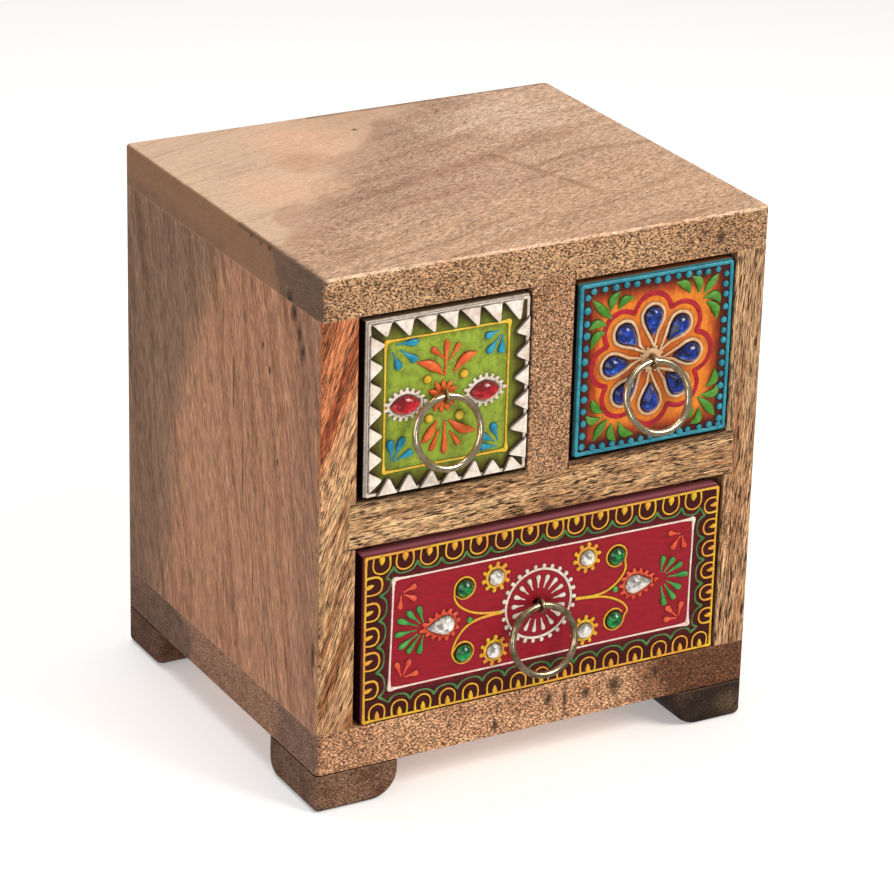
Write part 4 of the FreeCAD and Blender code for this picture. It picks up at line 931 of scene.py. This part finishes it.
ruled = paste_cone()
pipe_frame(ruled, [(22.4, 34.0), (119.6, 33.8), (119.9, 66.8), (23.2, 67.3)], 0.62, 1.7)
pink_white = painted_paste("pinkish white acrylic line", "#e6c4bb", "#e2d6c4", dirt_and_shade=0.5)
lay_paste("lower_drawer_ruled_line", pink_white, 0.7, ruled)
ROSETTE = (69.5, 50.6)
rosette = paste_cone()
pearls = bmesh.new()
pipe(rosette, [around(ROSETTE, 10.6, math.tau * k / 24) for k in range(24)], 0.85, closed=True)
for k in range(17):
    angle = math.tau * (k + 0.35) / 17
    pipe_drop(rosette, around(ROSETTE, 4.8, angle), around(ROSETTE, 8.1, angle), 1.55, 0.4)
for k in range(26):
    root = around(ROSETTE, 10.6, math.tau * k / 26)
    tip = around(ROSETTE, 11.5, math.tau * k / 26)
    pipe(rosette, [root, between(root, tip, 0.5), tip], [1.3, 1.2, 1.1])
    dot_paste(pearls, [tip], 1.4, 0.42)
lay_paste("lower_drawer_white_rosette", white_paste, 0.75, rosette, pearls)

fans = paste_cone()
for hub, bulbs in (
    (
        (33.4, 50.5),
        ((31.3, 56.8), (28.1, 56.1), (25.4, 54.3), (24.6, 50.2), (25.9, 46.3), (28.4, 44.7), (31.7, 43.9)),
    ),
    (
        (109.6, 50.2),
        (
            (110.2, 56.3), (113.4, 55.3), (116.0, 53.3), (118.0, 50), (115.9, 46.3), (114.3, 43.4),
            (111.2, 42.1),
        ),
    ),
):
    for bulb in bulbs:
        pipe_drop(fans, between(hub, bulb, 0.3), bulb, 2.0, 0.4)
green_dots = bmesh.new()
dot_paste(green_dots, [(47.4, 50.1), (94.6, 49.8)], 2.0, 0.4)
green_paste = painted_paste("mid green acrylic paste", "#37863a", "#4f9c48")
lay_paste("lower_drawer_green_fans", green_paste, 0.8, fans, green_dots)

sprigs = paste_cone()
red_bumps = bmesh.new()
for hub, bulbs in (
    ((25.7, 62.6), ((29.4, 64.0), (29.6, 60.4), (25.3, 58.8))),
    ((26.4, 36.6), ((24.7, 41.0), (28.4, 41.2), (30.6, 37.4))),
    ((116.2, 62.8), ((112.3, 63.7), (113.3, 59.3), (117.0, 59.2))),
    ((116.4, 36.4), ((112.6, 40.1), (117.0, 40.6), (112.2, 36.7))),
):
    for bulb in bulbs:
        pipe_drop(sprigs, between(hub, bulb, 0.15), bulb, 2.0, 0.5)
for gem in ("lower_drawer_left_drop_gem", "lower_drawer_right_drop_gem"):
    pipe(sprigs, outline(gem, 0.45, 20), 1.2, closed=True)
    for root, tip in zip(outline(gem, 0.5, 14), outline(gem, 1.6, 14)):
        pipe(sprigs, [root, between(root, tip, 0.5), tip], [2.0, 1.6, 1.0])
    dot_paste(red_bumps, outline(gem, 1.55, 14), 1.1, 0.4)
vermilion_paste = painted_paste("vermilion acrylic paste", "#cf4224", "#d9583a")
lay_paste("lower_drawer_orange_sprigs", vermilion_paste, 0.75, sprigs, red_bumps)

# ------------------------------------------------------------------------------------------------
# Gems: pressed glass with a foiled back, glued in their collars. The light that the foil throws back
# through the coloured glass is painted into each facet's tone, under a clear, sharp gloss.
# ------------------------------------------------------------------------------------------------


def foiled_glass(name, deep, bright, sparkle):
    """Glass over foil: pools of deep and bright tone 2 mm wide, glints of 0.8 mm, and a clear coat."""
    material, add, shader = new_material(name)
    spot = add("Mapping", {"Vector": add("TexCoord").outputs["Object"], "Scale": (1 / MM,) * 3})
    pools = add("TexNoise", {"Vector": spot, "Scale": 0.55, "Detail": 2.0})
    foil = add("TexVoronoi", {"Vector": spot, "Scale": 1.3, "Randomness": 0.9}).outputs["Color"]
    glints = add("SeparateColor", {"Color": foil})
    tone = add("Math", {0: glints, 1: 0.12, 2: pools}, operation="MULTIPLY_ADD")
    # painted light and shade: facets that face down are painted brighter and those that face up darker, like
    # light thrown back by the foil
    facing_up_painted_shade = add("SeparateXYZ", {"Vector": add("NewGeometry").outputs["Normal"]}).outputs["Z"]
    tone = add("Math", {0: facing_up_painted_shade, 1: -0.18, 2: tone}, operation="MULTIPLY_ADD")
    tint = add("ValToRGB", {"Fac": tone}, stops=[(0.42, deep), (0.7, bright), (0.9, sparkle)])
    # no light comes back through the rim, where the foil ends
    depth = add("SeparateXYZ", {"Vector": spot}).outputs["Y"]
    face = FRONT_FACE / MM
    rim = add("MapRange", {"Value": depth, "From": (face - 0.75, face - 0.3), "To": (0.0, 0.9)})
    tint = add("MixRGB", {"Fac": rim, "Color1": tint, "Color2": "#1c1410"})
    gloss = add("MapRange", {"Value": glints.outputs[1], "To": (0.08, 0.22)})
    dome = add("Bevel", {"Radius": 1.6 * MM}, samples=8)
    fill_sockets(shader, {
        "Base Color": tint, "Roughness": gloss, "Metallic": 0.1, "Specular IOR Level": 0.3,
        "Coat Normal": dome, "Coat Weight": 1.0, "Coat Roughness": 0.03, "Coat IOR": 1.58,
    })
    return material


def polish_gem(node, material):
    """The moulded gem for a packed stone: its facets, with the ridges between them rounded by polishing."""
    stone = bmesh.new()
    stone.from_mesh(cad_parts[node].data)
    bmesh.ops.remove_doubles(stone, verts=stone.verts, dist=0.005 * MM)
    bmesh.ops.dissolve_limit(stone, angle_limit=math.radians(3), verts=stone.verts, edges=stone.edges)
    # the edges round the flat back stay sharp
    back = FRONT_FACE - 0.1 * MM
    ridges = [edge for edge in stone.edges if min(v.co.y for v in edge.verts) < back]
    bmesh.ops.bevel(
        stone, geom=ridges, offset=0.7 * MM, offset_type="OFFSET", affect="EDGES", segments=2, profile=0.5,
        material=-1, clamp_overlap=True,
    )
    bmesh.ops.triangulate(stone, faces=stone.faces)
    piece = add_piece(f"{node}_polished", stone, material, smooth=False)
    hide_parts(node)


blue_glass = foiled_glass("sapphire blue foiled glass", "#021040", "#0838a8", "#3f92ea")
red_glass = foiled_glass("ruby red foiled glass", "#780410", "#cf1024", "#f2606c")
green_glass = foiled_glass("emerald green foiled glass", "#02421e", "#069a44", "#44d080")
clear_glass = foiled_glass("clear foiled glass", "#8c8983", "#f6f3ec", "#ffffff")
for node in list(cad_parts):
    if "petal_gem" in node:
        polish_gem(node, blue_glass)
    elif node in ("left_drawer_left_gem", "left_drawer_right_gem"):
        polish_gem(node, red_glass)
    elif "green_gem" in node:
        polish_gem(node, green_glass)
    elif "clear_gem" in node or "drop_gem" in node:
        polish_gem(node, clear_glass)

# ------------------------------------------------------------------------------------------------
# Ring pulls: a ring of drawn brass wire held in the eye of a brass split pin, whose legs are bent over
# inside the front. Handling has dulled the wire, the pins and the lower ring most.
# ------------------------------------------------------------------------------------------------


def handled_brass(name, colour, dull, gloss):
    """Drawn brass wire: a soft mirror with patches 2 mm wide, dulled by handling, and fine scratches.

    The scratches are drawn 0.2 mm wide, or they wouldn't show.
    """
    material, add, shader = new_material(name)
    spot = add("Mapping", {"Vector": add("TexCoord").outputs["Object"], "Scale": (1 / MM,) * 3})
    patches = add("TexNoise", {"Vector": spot, "Scale": 0.45, "Detail": 5.0, "Roughness": 0.65})
    tint = add("ValToRGB", {"Fac": patches}, stops=[(0.38, dull), (0.62, colour)])
    rough = add("MapRange", {"Value": patches, "From": (0.3, 0.7), "To": (gloss + 0.16, gloss)})
    scratches = add("TexNoise", {"Vector": spot, "Scale": 6.0, "Detail": 2.0})
    scratches = add("Bump", {"Height": scratches, "Strength": 0.12, "Distance": 0.05 * MM})
    fill_sockets(shader, {"Base Color": tint, "Roughness": rough, "Normal": scratches, "Metallic": 1.0})
    return material


pale_brass = handled_brass("brass wire, bright", "#eee0c0", "#c4ad84", 0.09)
dull_brass = handled_brass("brass wire, tarnished", "#d6c6a6", "#94815f", 0.16)
for drawer in ("left", "right", "lower"):
    finish_node(f"{drawer}_drawer_pull_ring", dull_brass if drawer == "lower" else pale_brass)
    finish_node(f"{drawer}_drawer_pull_pin", dull_brass)

# ------------------------------------------------------------------------------------------------
# Drawer boxes: unpainted, unwaxed mango wood, rebated and glued, each bottom let into grooves. Bright steel
# nails hold the chest's back panel and its feet.
# ------------------------------------------------------------------------------------------------
box_wood = mango_wood(
    "plain sawn mango wood, drawer boxes", "#c49c74", ALONG_X, pores=0.4, streaks=0.4, seed=21,
)
side_wood = mango_wood(
    "plain sawn mango wood, drawer sides", "#bd956e", (0, 0, 90), pores=0.4, streaks=0.4, seed=22,
)
for drawer in ("left", "right", "lower"):
    finish_node(f"{drawer}_drawer_back", box_wood)
    finish_node(f"{drawer}_drawer_bottom", side_wood)
    finish_node(f"{drawer}_drawer_left_side", side_wood)
    finish_node(f"{drawer}_drawer_right_side", side_wood)
# drawn steel is bright grey, with dull streaks about a millimetre long
steel, add, steel_shader = new_material("drawn steel wire nails")
streaks = add("TexNoise", {"Vector": add("TexCoord").outputs["Object"], "Scale": 900.0, "Detail": 3.0})
fill_sockets(steel_shader, {
    "Base Color": add("ValToRGB", {"Fac": streaks}, stops=[(0.35, "#77787a"), (0.65, "#b4b6b8")]),
    "Roughness": add("MapRange", {"Value": streaks, "To": (0.25, 0.5)}),
    "Metallic": 1.0,
})
finish_node("back_panel_nails", steel)
finish_node("foot_nails", steel)
